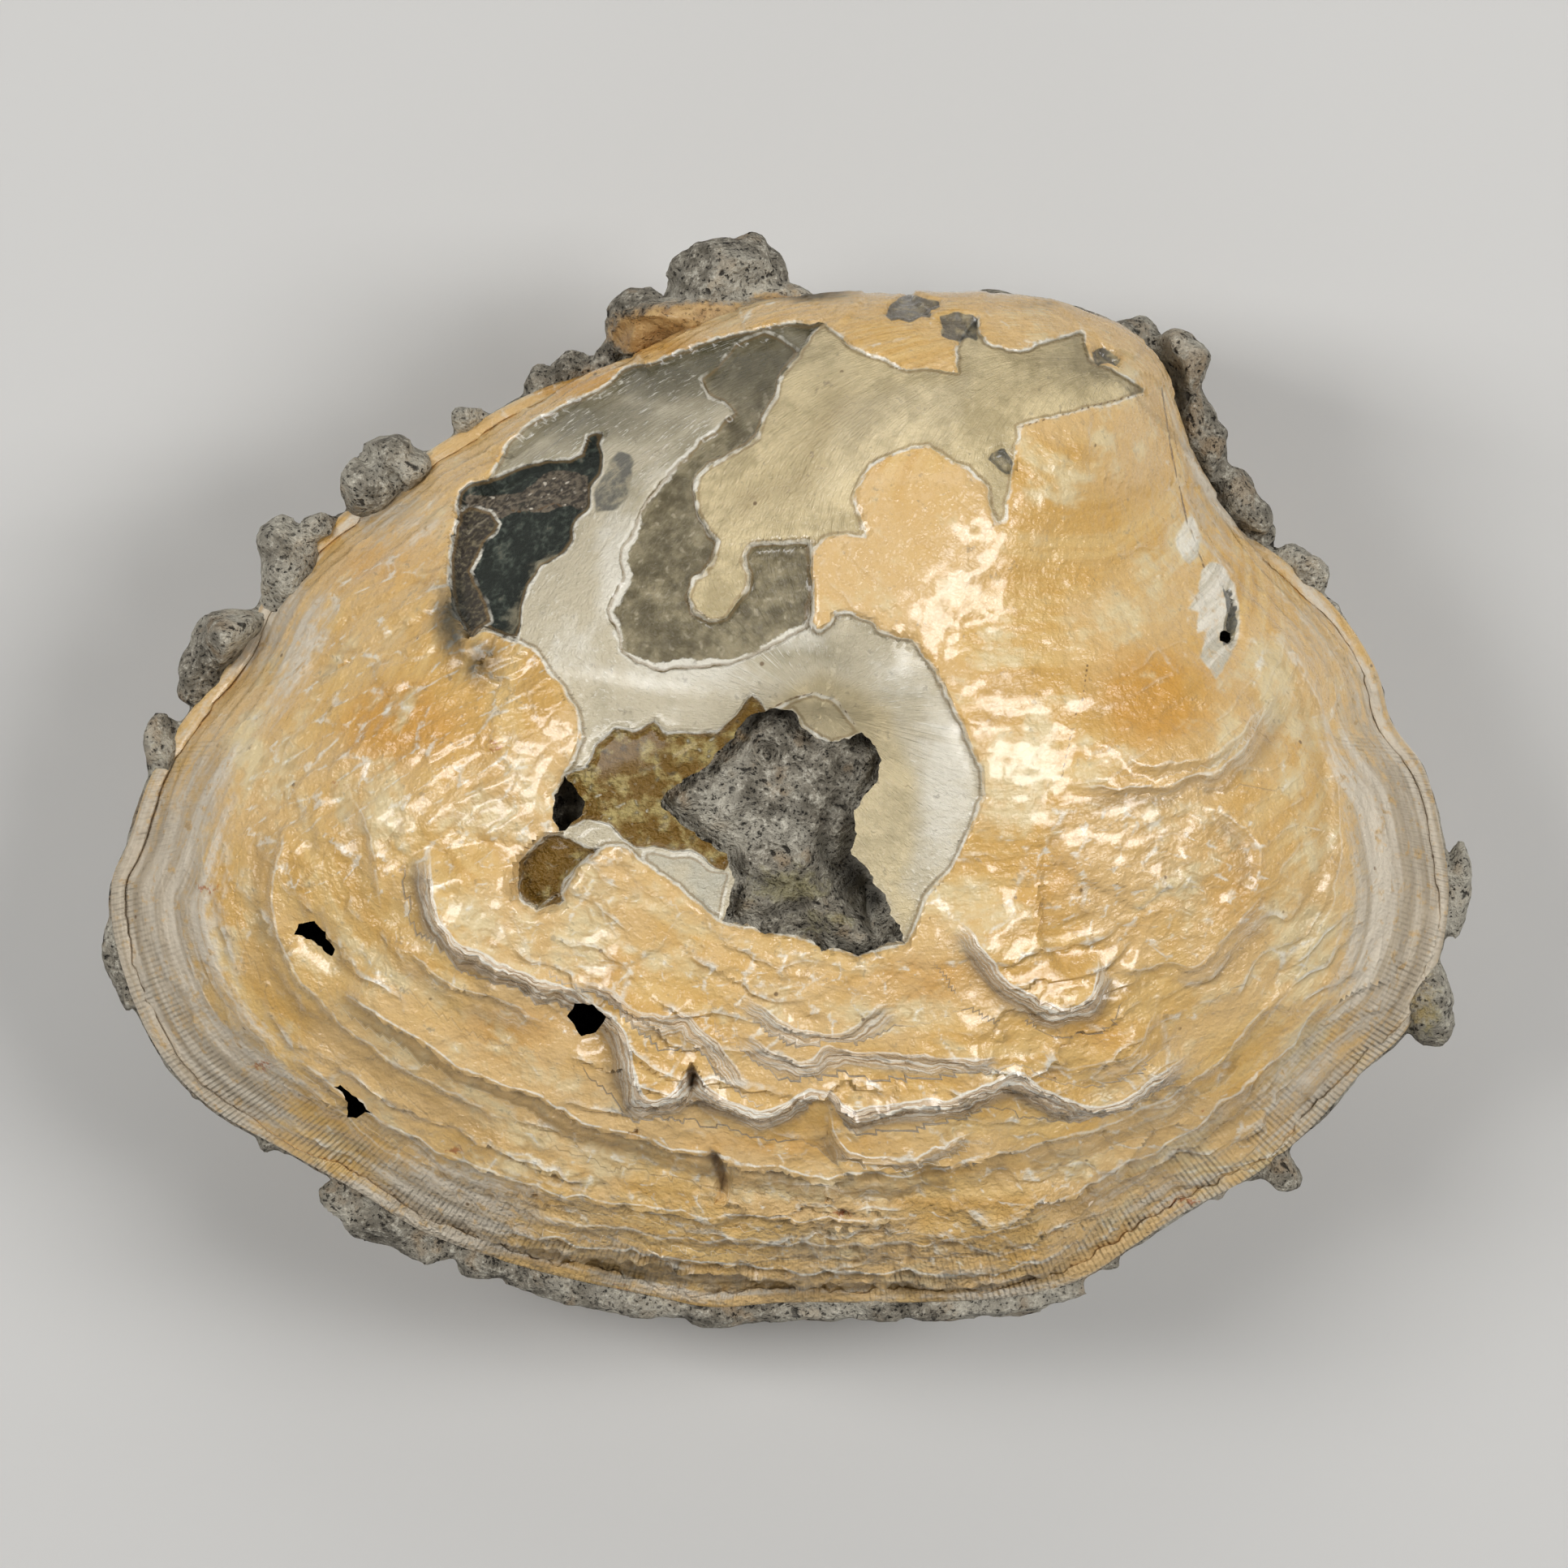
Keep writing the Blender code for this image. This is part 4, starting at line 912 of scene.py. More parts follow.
class Graph:
    """The nodes of one material."""

    def __init__(self, name: str) -> None:
        """Start a material of that name with its Principled shader."""
        self.material = bpy.data.materials.new(name)
        self.material.use_nodes = True
        self.nodes = self.material.node_tree.nodes
        self.links = self.material.node_tree.links
        self.shader = self.nodes["Principled BSDF"]
        self.place = self.node("ShaderNodeTexCoord", {}, {}, "Object")
        self.named: dict[str, Value] = {}

    def node(self, kind: str, settings: dict, inputs: dict, output: int | str = 0) -> Value:
        """A node.

        Args:
            kind: the node's type.
            settings: what is set on the node itself, first.
            inputs: a value or a link for each of its sockets that is used.
            output: which of its results is wanted.

        Returns:
            That result.
        """
        made = self.nodes.new(kind)
        for name, value in settings.items():
            setattr(made, name, value)
        for key, value in inputs.items():
            self.feed(made.inputs[key], value)
        return Value(self, made.outputs[output])

    def feed(self, socket: bpy.types.NodeSocket, value: "Value | float | tuple") -> None:
        """Link a value to a socket, or set it there."""
        if isinstance(value, Value):
            self.links.new(value.socket, socket)
        elif isinstance(value, tuple) and len(value) == 3 and len(socket.default_value) == 4:
            socket.default_value = (*value, 1.0)
        else:
            socket.default_value = value

    def mark(self, name: str) -> Value:
        """A number kept on the piece's vertices."""
        return self.node("ShaderNodeAttribute", {"attribute_name": name}, {}, "Fac")

    def stretched(self, x: float, y: float, z: float) -> Value:
        """The place on the piece, stretched along the axes."""
        return self.node("ShaderNodeVectorMath", {"operation": "MULTIPLY"}, {0: self.place, 1: (x, y, z)})

    def bent(self, scale: float, amount: float) -> Value:
        """The place on the piece, pushed about by noise of the given lumps to a metre and size in metres."""
        inputs = {"Vector": self.place, "Scale": scale, "Detail": 0.0}
        push = self.node("ShaderNodeTexNoise", {}, inputs, "Color")
        scaled = self.node("ShaderNodeVectorMath", {"operation": "SCALE"}, {0: push, "Scale": amount})
        return self.node("ShaderNodeVectorMath", {"operation": "ADD"}, {0: self.place, 1: scaled})

    def vector(self, x: "Value | float", y: "Value | float", z: "Value | float") -> Value:
        """A vector of three values."""
        return self.node("ShaderNodeCombineXYZ", {}, {0: x, 1: y, 2: z})

    def noise(self, scale: float, detail: float = 2.0, rough: float = 0.5, at: Value | None = None) -> Value:
        """Smooth noise from 0 to 1, with the given number of lumps to a metre."""
        inputs = {"Vector": at or self.place, "Scale": scale, "Detail": detail, "Roughness": rough}
        return self.node("ShaderNodeTexNoise", {}, inputs, "Fac")

    def cells(self, scale: float, at: Value | None = None) -> Value:
        """Distance to the nearest of scattered points, with the given number of cells to a metre."""
        inputs = {"Vector": at or self.place, "Scale": scale}
        return self.node("ShaderNodeTexVoronoi", {"feature": "F1"}, inputs, "Distance")

    def blend(self, share: Value, low: "Value | tuple", high: "Value | tuple") -> Value:
        """From one colour to another as the share runs from 0 to 1."""
        return self.node("ShaderNodeMix", {"data_type": "RGBA"}, {0: share, 6: low, 7: high}, 2)

    def coats(self, colour: "Value | tuple", *coats: "tuple[Value, Value | tuple]") -> Value:
        """Lay coats over a colour.

        Args:
            colour: what lies under them.
            coats: share and colour of each coat, from the lowest one up.

        Returns:
            The colour that shows.
        """
        for share, coat in coats:
            colour = self.blend(share, colour, coat)
        return colour

    def sway(self, **amounts: float) -> Value:
        """A sum of the graph's named noises, each centred on 0 and times its amount."""
        return reduce(add, [(self.named[name] - 0.5) * amount for name, amount in amounts.items()])

    def ribs(self, around: Value, margin: Value, inner: float) -> Value:
        """Fine ribs across the margin, which fade out at so many millimetres from it."""
        wave = (around * (2.0 * math.pi / RIB_SPACING_MM)).sine() * 0.5 + 0.5
        return wave * margin.ease(inner, 1.0)

    def bump(self, height: Value) -> None:
        """Raise the surface by the height, in millimetres."""
        inputs = {"Height": height, "Distance": MILLIMETRE, "Strength": 1.0}
        self.feed(self.shader.inputs["Normal"], self.node("ShaderNodeBump", {}, inputs, "Normal"))

    def dress(self, **inputs: "Value | float | tuple") -> None:
        """Feed the shader's sockets, named with underscores for spaces."""
        for name, value in inputs.items():
            self.feed(self.shader.inputs[name.replace("_", " ").title().replace("Ior", "IOR")], value)


@dataclass(frozen=True)
class HoneyShell:
    """Tints of the glossy, layered shell, and the finish made with them."""

    honey: tuple = tint(212, 168, 94)
    honey_pale: tuple = tint(224, 190, 126)
    peach: tuple = tint(220, 184, 126)
    amber: tuple = tint(206, 150, 62)
    tan: tuple = tint(178, 140, 80)
    cream: tuple = tint(226, 206, 160)
    cream_grey: tuple = tint(188, 170, 128)
    cream_dull: tuple = tint(168, 148, 106)
    pearl: tuple = tint(206, 194, 166)
    pearl_grey: tuple = tint(166, 156, 128)
    # Dark pearl, and also painted shade towards the top margin
    pearl_dark: tuple = tint(98, 91, 64)
    slate: tuple = tint(82, 82, 76)
    brown: tuple = tint(98, 88, 62)
    brown_pale: tuple = tint(160, 148, 116)
    # The dark window, and also the tint of painted shade from the dark patches
    window: tuple = tint(30, 36, 28)
    window_pale: tuple = tint(88, 96, 84)
    sooty: tuple = tint(62, 54, 44)
    sandy: tuple = tint(122, 110, 92)
    olive: tuple = tint(120, 88, 20)
    olive_pale: tuple = tint(180, 160, 100)
    # Broken edges and frost, and also painted highlight in two patches on the pearl
    white: tuple = tint(240, 234, 218)
    nacre: tuple = tint(196, 190, 170)
    chalk: tuple = tint(218, 207, 188)
    chalk_dark: tuple = tint(182, 168, 146)
    mauve: tuple = tint(206, 184, 158)
    shadow: tuple = tint(112, 86, 56)
    # Painted shade: in the corner under broken edges, below growth lamellae, and on and under the steps of
    # ledges
    hollow: tuple = tint(140, 112, 68)
    rust: tuple = tint(170, 92, 34)

    def material(self) -> bpy.types.Material:
        """The finish of the upper valve's outside."""
        return HoneyPainter(self).material()


class HoneyPainter:
    """Paints the upper valve: honey calcite over cream, pearly grey, brown and olive layers."""

    def __init__(self, tints: HoneyShell) -> None:
        """Start the material with the marks on the valve and the noises that all its layers share."""
        self.tints = tints
        self.g = g = Graph("honey_shell_finish")
        self.marks = {name: g.mark(name) for name in UpperValve.marks}
        self.fine = g.noise(2400, 2)
        self.mid = g.noise(800, 3, 0.6)
        self.broad = g.noise(230, 3, 0.6)
        self.wide = g.noise(80, 3, 0.55)
        g.named.update(fine=self.fine, mid=self.mid, broad=self.broad, wide=self.wide)
        g.named["growth"] = self.along_growth(38.0, 0.02, self.broad * 1.6)
        g.named["silk"] = self.along_growth(60.0, 0.05, self.broad)
        self.silk = g.named["silk"]
        self.flecks = self.along_growth(220.0, 0.9, self.broad, 3, 0.65)
        self.ragged = g.sway(fine=0.22, mid=0.34)
        self.crystals = g.cells(1100, at=g.bent(900, 0.0012))

    def along_growth(
        self, age: float, around: float, third: Value, detail: int = 3, rough: float = 0.6
    ) -> Value:
        """Noise drawn out along the growth lines.

        Args:
            age: how many streaks lie between the beak and the margin.
            around: how many lumps there are to a millimetre along a streak.
            third: what makes the streaks wander.
            detail, rough: the noise's detail and roughness.

        Returns:
            The noise, from 0 to 1.
        """
        at = self.g.vector(self.marks["age"] * age, self.marks["around"] * around, third)
        return self.g.noise(1.0, detail, rough, at)

    def within(self, name: str, soft: float = 0.05) -> Value:
        """1 inside a layer's outline and 0 outside it."""
        return (self.marks[name] + self.ragged * 0.5).ease(-soft, soft)

    def line_at(self, name: str, distance: float, width: float, jitter: float = 0.5) -> Value:
        """1 on a thin line at a distance, in millimetres, inside an outline or beside an edge."""
        return (self.marks[name] - distance + self.ragged * jitter).size().ease(width, 0.02)

    def honey(self) -> Value:
        """The honey layer, with growth tones, amber and milky patches."""
        g, tints, marks = self.g, self.tints, self.marks
        amber = (marks["warm"] + g.sway(broad=1.1, wide=1.0, growth=0.8)).ease(0.12, 1.0)
        deeper = (g.sway(growth=-1.0, broad=-1.2) + marks["rough"] * (self.mid - 0.42) * 1.6).ease(0.05, 0.6)
        self.milky = (marks["pale"] + g.sway(mid=1.0, broad=2.3, growth=1.5, wide=0.9)).ease(0.1, 0.82)
        return g.coats(
            tints.honey,
            (g.named["growth"].ease(0.38, 0.66) * 0.8, tints.honey_pale),
            (self.wide.ease(0.41, 0.58), tints.peach),
            (amber * 0.85, tints.amber),
            (deeper * 0.55, tints.tan),
            (self.milky * 0.9, tints.cream),
        )

    def lamellae(self, colour: Value) -> Value:
        """Growth lamellae and flakes: a pale broken edge, with a little shade below it."""
        g, tints, marks, mid, broad = self.g, self.tints, self.marks, self.mid, self.broad
        ring = g.node("ShaderNodeMath", {"operation": "FRACT"}, {0: marks["ring"] + g.sway(mid=0.10)})
        stepped = marks["ringed"] * (broad + self.wide * 0.4).ease(0.5, 0.75)
        broken = (broad * 0.7 + mid * 0.5).ease(0.5, 0.72)
        edge = ring.ease(0.80, 0.97) * ring.ease(1.0, 0.985) * stepped * broken
        flaked = self.line_at("flake", 0.0, 0.14, 0.4) * broad.ease(0.42, 0.62)
        chipped = self.line_at("chip", 0.0, 0.12, 0.3) * mid.ease(0.46, 0.58)
        beside = self.line_at("chip", 0.22, 0.16, 0.0) * broad.ease(0.5, 0.6)
        return g.coats(
            colour,
            (ring.ease(0.16, 0.0) * stepped * 0.6, tints.hollow),
            (edge * mid.ease(0.25, 0.5) * 0.9, tints.white),
            (flaked * mid.ease(0.4, 0.6) * 0.85, tints.white),
            (chipped * 0.7, tints.white),
            (beside * 0.45, tints.tan),
        )

    def pearl_layers(self, colour: Value) -> Value:
        """The pearly grey field under the honey, and the brown layer inside it."""
        g, tints, marks, mid, broad = self.g, self.tints, self.marks, self.mid, self.broad
        # Cloudy grey, and painted shade towards the top margin from the shade patches
        clouds_and_shade = (g.sway(broad=1.5, silk=0.9, wide=0.8) + marks["shade"] * 1.15).ease(-0.05, 0.75)
        dusk_and_shade = (marks["shade"] + g.sway(broad=0.5, mid=0.35)).ease(0.4, 1.1)
        # White frost, partly painted highlight
        frost_and_glint = (marks["frost_and_painted_highlight"] + g.sway(mid=0.8, silk=0.8)).ease(0.25, 0.95)
        pearl = g.coats(
            tints.pearl,
            (clouds_and_shade, tints.pearl_grey),
            (dusk_and_shade, tints.pearl_dark),
            ((marks["pale"] + g.sway(silk=0.8)).ease(0.3, 0.9) * 0.7, tints.cream),
            (self.flecks.ease(0.56, 0.68) * broad.ease(0.42, 0.58) * 0.7, tints.white),
            (frost_and_glint * 0.7, tints.white),
        )
        freckles = self.crystals.ease(0.34, 0.14) * mid.ease(0.4, 0.6)
        brown = g.coats(
            tints.brown,
            ((g.sway(mid=1.9, broad=1.5) - marks["brown"] * 0.13 + 0.62).ease(0.0, 1.0), tints.brown_pale),
            (freckles * 0.4, tints.pearl),
            (dusk_and_shade * 0.6, tints.pearl_dark),
        )
        crusted = (marks["brown"] - 0.1 + self.ragged).ease(-0.02, 0.08)
        crusted = crusted * (marks["brown"] + self.ragged * 2.2 - marks["frost_and_painted_highlight"] * 0.95).ease(0.12, -0.12)
        return g.coats(
            colour, (self.within("grey"), pearl), (self.within("brown"), brown), (crusted * 0.9, tints.white)
        )

    def cream_layers(self, colour: Value) -> Value:
        """The cream plate, and the beige rim right of the hole."""
        g, tints, dull = self.g, self.tints, self.tints.cream_dull
        beige = g.coats(
            tints.cream_grey,
            ((g.sway(growth=0.6, mid=1.2, broad=1.9) + 0.5).ease(0.1, 0.85), tints.cream),
            ((self.marks["cream"] * 0.16 + g.sway(broad=1.5, mid=0.8)).ease(0.35, 1.0) * 0.8, dull),
        )
        return g.coats(colour, (self.within("beige", 0.9) * 0.75, beige), (self.within("cream"), beige))

    def window_layers(self, colour: Value) -> Value:
        """The dark, sandy window on the left."""
        g, tints, marks, mid, fine = self.g, self.tints, self.marks, self.mid, self.fine
        murky = g.blend((mid * 0.8 + fine * 0.5 - 0.10).ease(0.5, 0.82), tints.window, tints.window_pale)
        frost = (marks["floor"] * -0.35 + g.sway(mid=1.8) + marks["dusted"]).ease(0.3, 1.1)
        soot = g.blend(fine.ease(0.4, 0.8) * 0.6, tints.sooty, tints.brown_pale)
        sand = g.coats(
            tints.sooty,
            (fine.ease(0.36, 0.62), tints.sandy),
            (self.crystals.ease(0.3, 0.12) * mid.ease(0.4, 0.55), tints.chalk),
        )
        return g.coats(
            colour,
            (self.within("window"), murky),
            (self.within("floor") * frost * 0.75, tints.pearl_grey),
            (self.within("left"), soot),
            (self.within("sandy") * mid.ease(0.15, 0.4) * 0.95, sand),
        )

    def olive_layers(self, colour: Value) -> Value:
        """The olive layer by the hole with its crystals, the nacre flake, the smear and the scar."""
        g, tints, mid, broad = self.g, self.tints, self.mid, self.broad
        mossy = g.coats(
            tints.olive,
            ((g.sway(mid=2.4, broad=1.8) + 0.25).ease(0.1, 0.7), tints.olive_pale),
            (self.crystals.ease(0.5, 0.15) * mid.ease(0.45, 0.6) * 0.6, tints.sooty),
            (self.crystals.ease(0.22, 0.1) * broad.ease(0.45, 0.6) * 0.8, tints.nacre),
        )
        nacre = g.blend(broad.ease(0.35, 0.65), tints.nacre, tints.pearl)
        smear = g.blend(mid.ease(0.4, 0.7), tints.slate, tints.pearl_grey)
        bruised = g.blend(self.silk.ease(0.42, 0.6), tints.nacre, tints.white)
        return g.coats(
            colour,
            (self.within("olive"), mossy),
            (self.within("nacre"), nacre),
            (self.within("smear", 0.12) * 0.85, smear),
            (self.within("scar", 0.15) * mid.ease(0.15, 0.5) * 0.9, bruised),
        )

    def rims(self, colour: Value) -> Value:
        """Broken edges of layers: a white line, and shade in the corner under it."""
        names = ("grey", "brown", "cream", "window", "nacre", "olive", "beyond", "left")
        edges = [self.marks[name] + self.ragged * 0.5 for name in names]
        rim = reduce(Value.most, [(near + 0.04).size().ease(0.20, 0.04) for near in edges])
        shade = reduce(Value.most, [(near - 0.20).size().ease(0.20, 0.02) for near in edges])
        patchy = self.mid.ease(0.34, 0.54) * self.broad.ease(0.34, 0.54)
        return self.g.coats(colour, (shade * 0.5, self.tints.hollow), (rim * patchy * 0.9, self.tints.white))

    def ledges(self, colour: Value) -> Value:
        """Lamellae that crop out in the steps of the ledges, with shade at the foot of each step."""
        g, tints, marks = self.g, self.tints, self.marks
        ledge, power, leafy = marks["ledge"], marks["power"], marks["leafy"]
        run = ledge + g.sway(mid=0.5, broad=1.3)
        leaf = g.noise(1.0, 2, 0.7, g.vector(run * 5.0, marks["around"] * 0.07, 0.0))
        patchy = (self.broad * 0.8 + self.wide * 0.7 + leafy * 0.5).ease(0.75, 1.1)
        outcrop = ledge.ease(-1.7, -1.0) * ledge.ease(0.25, 0.0) * leafy * patchy
        self.leaves = outcrop * leaf
        face = ledge.ease(-0.9, -0.3) * ledge.ease(0.1, -0.1) * power
        foot = ledge.ease(-2.6, -1.2) * ledge.ease(-0.5, -1.1) * power
        crest = self.line_at("ledge", 0.10, 0.14) * power
        return g.coats(
            colour,
            (outcrop * 0.75, tints.mauve),
            (outcrop * leaf.ease(0.49, 0.58) * 0.9, tints.white),
            (outcrop * leaf.ease(0.46, 0.38) * 0.8, tints.shadow),
            # Painted shade on the face of a plain step and at the foot of every step
            (face * (1.0 - leafy) * 0.5, tints.hollow),
            (foot * 0.6, tints.hollow),
            (crest * self.mid.ease(0.3, 0.5) * 0.8, tints.white),
        )

    def wear(self, colour: Value) -> Value:
        """Chalky margin, dirt and painted shade, pits, rust, cracks and specks."""
        g, tints, marks, mid, fine = self.g, self.tints, self.marks, self.mid, self.fine
        banded = g.vector(marks["margin"] * 1.1, marks["around"] * 0.03, self.broad * 0.4)
        g.named["bands"] = bands = g.noise(1.0, 3, 0.6, banded)
        chalky = g.coats(
            tints.chalk_dark, (bands.ease(0.35, 0.62), tints.chalk), (mid.ease(0.55, 0.7) * 0.6, tints.honey)
        )
        self.worn = (marks["chalk"] + g.sway(mid=1.1, bands=1.5)).ease(0.32, 0.85)
        # Painted shade from the dark patches, with a smudge of dirt, laid in the window's dark tint
        self.grime_and_shade = (marks["dark"] + g.sway(mid=0.5)).ease(0.12, 0.85)
        pitted = g.blend(mid.ease(0.45, 0.7), tints.slate, tints.brown_pale)
        speck = g.cells(420).ease(0.10, 0.05) * self.broad.ease(0.55, 0.6)
        return g.coats(
            colour,
            (self.worn * 0.92, chalky),
            (self.grime_and_shade * 0.9, tints.window),
            (mid.ease(0.60, 0.70) * fine.ease(0.48, 0.6) * 0.4, tints.sandy),
            (self.within("pit", 0.06) * 0.9, pitted),
            ((marks["slit"] + self.ragged * 0.6).ease(-0.12, 0.25) * 0.8, tints.shadow),
            ((marks["rust"] * 0.8 + g.sway(fine=1.8)).ease(0.45, 0.8) * 0.7, tints.rust),
            ((marks["crack"] + self.ragged * 0.3).ease(0.11, 0.03) * 0.85, tints.shadow),
            (speck * 0.8, tints.shadow),
        )

    def relief(self) -> Value:
        """Fine relief in millimetres: wrinkles in the gloss, growth lines, leaves, ribs at the margin."""
        g, marks, mid, broad = self.g, self.marks, self.mid, self.broad
        grey, olive = self.within("grey"), self.within("olive")
        quiet = 1.0 - grey.most(olive) * 0.6
        wrinkle = g.noise(1500, 3, 0.62, g.stretched(0.7, 1.0, 1.0))
        creased = 0.5 - (g.noise(430, 3, 0.6) - 0.5).size() * 3.0
        lines = self.along_growth(150.0, 0.10, broad * 3.0, 3, 0.7)
        ribs = g.ribs(marks["around"], marks["margin"], 7.5) * marks["ribbed"] * broad.ease(0.3, 0.6)
        coarse = marks["rough"] * (self.fine * 0.8 + mid * 0.5)
        relief = wrinkle * 0.12 + ribs * 0.14 + self.leaves * 0.16 + coarse * 0.34
        relief = relief + (lines * 0.07 + mid * 0.20 + creased * 0.16) * quiet
        relief = relief + grey * (wrinkle * 0.10 + self.flecks * 0.26) + olive * (self.fine * 0.5 + mid * 0.5)
        return relief + (self.within("window") * 0.25 + marks["chalk"].ease(0.3, 0.9) * 0.14) * self.fine

    def material(self) -> bpy.types.Material:
        """The finish, with its layers laid one inside another."""
        colour = self.honey()
        for lay in (
            self.lamellae, self.pearl_layers, self.cream_layers, self.window_layers, self.olive_layers,
            self.rims, self.ledges, self.wear,
        ):
            colour = lay(colour)
        self.g.bump(self.relief())
        grey = self.within("grey")
        gloss = 1.0 - self.worn.most(self.within("window")).most(self.grime_and_shade * 0.8)
        gloss = gloss * (1.0 - self.marks["rough"] * 0.45) * (1.0 - self.within("olive") * 0.6)
        roughness = 0.27 + self.g.sway(fine=0.16) + (1.0 - gloss) * 0.45 + self.milky * 0.08 - grey * 0.06
        self.g.dress(base_color=colour, roughness=roughness, coat_weight=gloss * (0.74 - grey * 0.14))
        self.g.dress(coat_roughness=0.15, specular_ior_level=0.5)
        return self.g.material


@dataclass(frozen=True)
class BrokenShell:
    """The broken wall of the shell, in layers, and the dull inside of a valve."""

    pale: tuple = tint(214, 198, 160)
    dark: tuple = tint(120, 100, 62)

    def material(self) -> bpy.types.Material:
        """The finish of the broken edges."""
        g = Graph("broken_shell_finish")
        layers = g.noise(1.0, 3, 0.6, g.stretched(180.0, 180.0, 2600.0))
        grain = g.noise(1800, 2)
        g.bump(layers * 0.25 + grain * 0.1)
        g.dress(base_color=g.blend(layers.ease(0.35, 0.65), self.dark, self.pale))
        g.dress(roughness=0.45 + grain * 0.2, coat_weight=layers * 0.3, coat_roughness=0.2)
        return g.material


@dataclass(frozen=True)
class WornShell:
    """Satin, weathered shell with growth bands, a little honey gloss and sand in its grooves."""

    honey: tuple = tint(206, 164, 108)
    amber: tuple = tint(184, 128, 66)
    cream: tuple = tint(218, 200, 160)
    chalk: tuple = tint(186, 178, 162)
    pearl: tuple = tint(200, 198, 184)
    grey: tuple = tint(128, 122, 106)
    sandy: tuple = tint(112, 104, 90)
    white: tuple = tint(236, 230, 216)
    shadow: tuple = tint(66, 54, 40)
    rust: tuple = tint(160, 88, 38)

    def material(self) -> bpy.types.Material:
        """The finish of the lower valve's outside."""
        g = Graph("worn_shell_finish")
        age, around, margin, bare = g.mark("age"), g.mark("around"), g.mark("margin"), g.mark("bare")
        fine, mid, broad, wide = g.noise(2400, 2), g.noise(700, 3, 0.6), g.noise(200, 3, 0.55), g.noise(60, 2)
        tones = g.noise(1.0, 3, 0.6, g.vector(age * 50.0, around * 0.012, broad * 0.8))
        g.named.update(fine=fine, mid=mid, broad=broad, wide=wide, tones=tones)
        peeling = bare + g.sway(fine=0.132, mid=0.204)
        peeled = peeling.ease(-0.06, 0.06)
        pearl = g.blend((broad * 0.6 + wide * 0.6).ease(0.4, 0.8), self.pearl, self.grey)
        chalky = (margin.ease(11.0, 3.0) * 0.9 + g.sway(mid=0.9, tones=1.2)).ease(0.2, 0.85)
        step = g.node("ShaderNodeMath", {"operation": "FRACT"}, {0: g.mark("step") + g.sway(mid=0.08)})
        groove = step.ease(0.26, 0.04) * broad.ease(0.3, 0.55)
        lip = (step - STEP_TOP).size().ease(0.07, 0.01) * mid.ease(0.38, 0.56)
        dirt = mid.ease(0.58, 0.7) * broad.ease(0.45, 0.6)
        speck = g.cells(420).ease(0.12, 0.06) * broad.ease(0.5, 0.56)
        colour = g.coats(
            self.honey,
            (tones.ease(0.35, 0.65), self.cream),
            (g.sway(broad=2.2, wide=1.6).ease(0.0, 0.9) * 0.8, self.amber),
            (peeled, pearl),
            (peeling.size().ease(0.2, 0.03) * 0.85, self.white),
            (chalky * 0.85, self.chalk),
            (groove * 0.7, self.sandy),
            (lip * 0.7, self.white),
            (dirt * 0.6, self.sandy),
            (mid.ease(0.7, 0.76) * wide.ease(0.5, 0.6) * 0.8, self.rust),
            (speck * 0.8, self.shadow),
        )
        lines = g.noise(1.0, 4, 0.7, g.vector(age * 170.0, around * 0.06, broad * 2.0))
        ribs = g.ribs(around, margin, 8.0)
        relief = lines * 0.16 + ribs * 0.13 + mid * 0.2 + fine * 0.08 + g.noise(1500, 3, 0.62) * 0.1
        g.bump(relief * (1.0 - peeled * 0.5))
        dull = chalky.most(dirt).most(groove)
        g.dress(base_color=colour, roughness=0.42 + dull * 0.35 + g.sway(fine=0.2))
        g.dress(coat_weight=(1.0 - dull) * 0.45, coat_roughness=0.2)
        return g.material


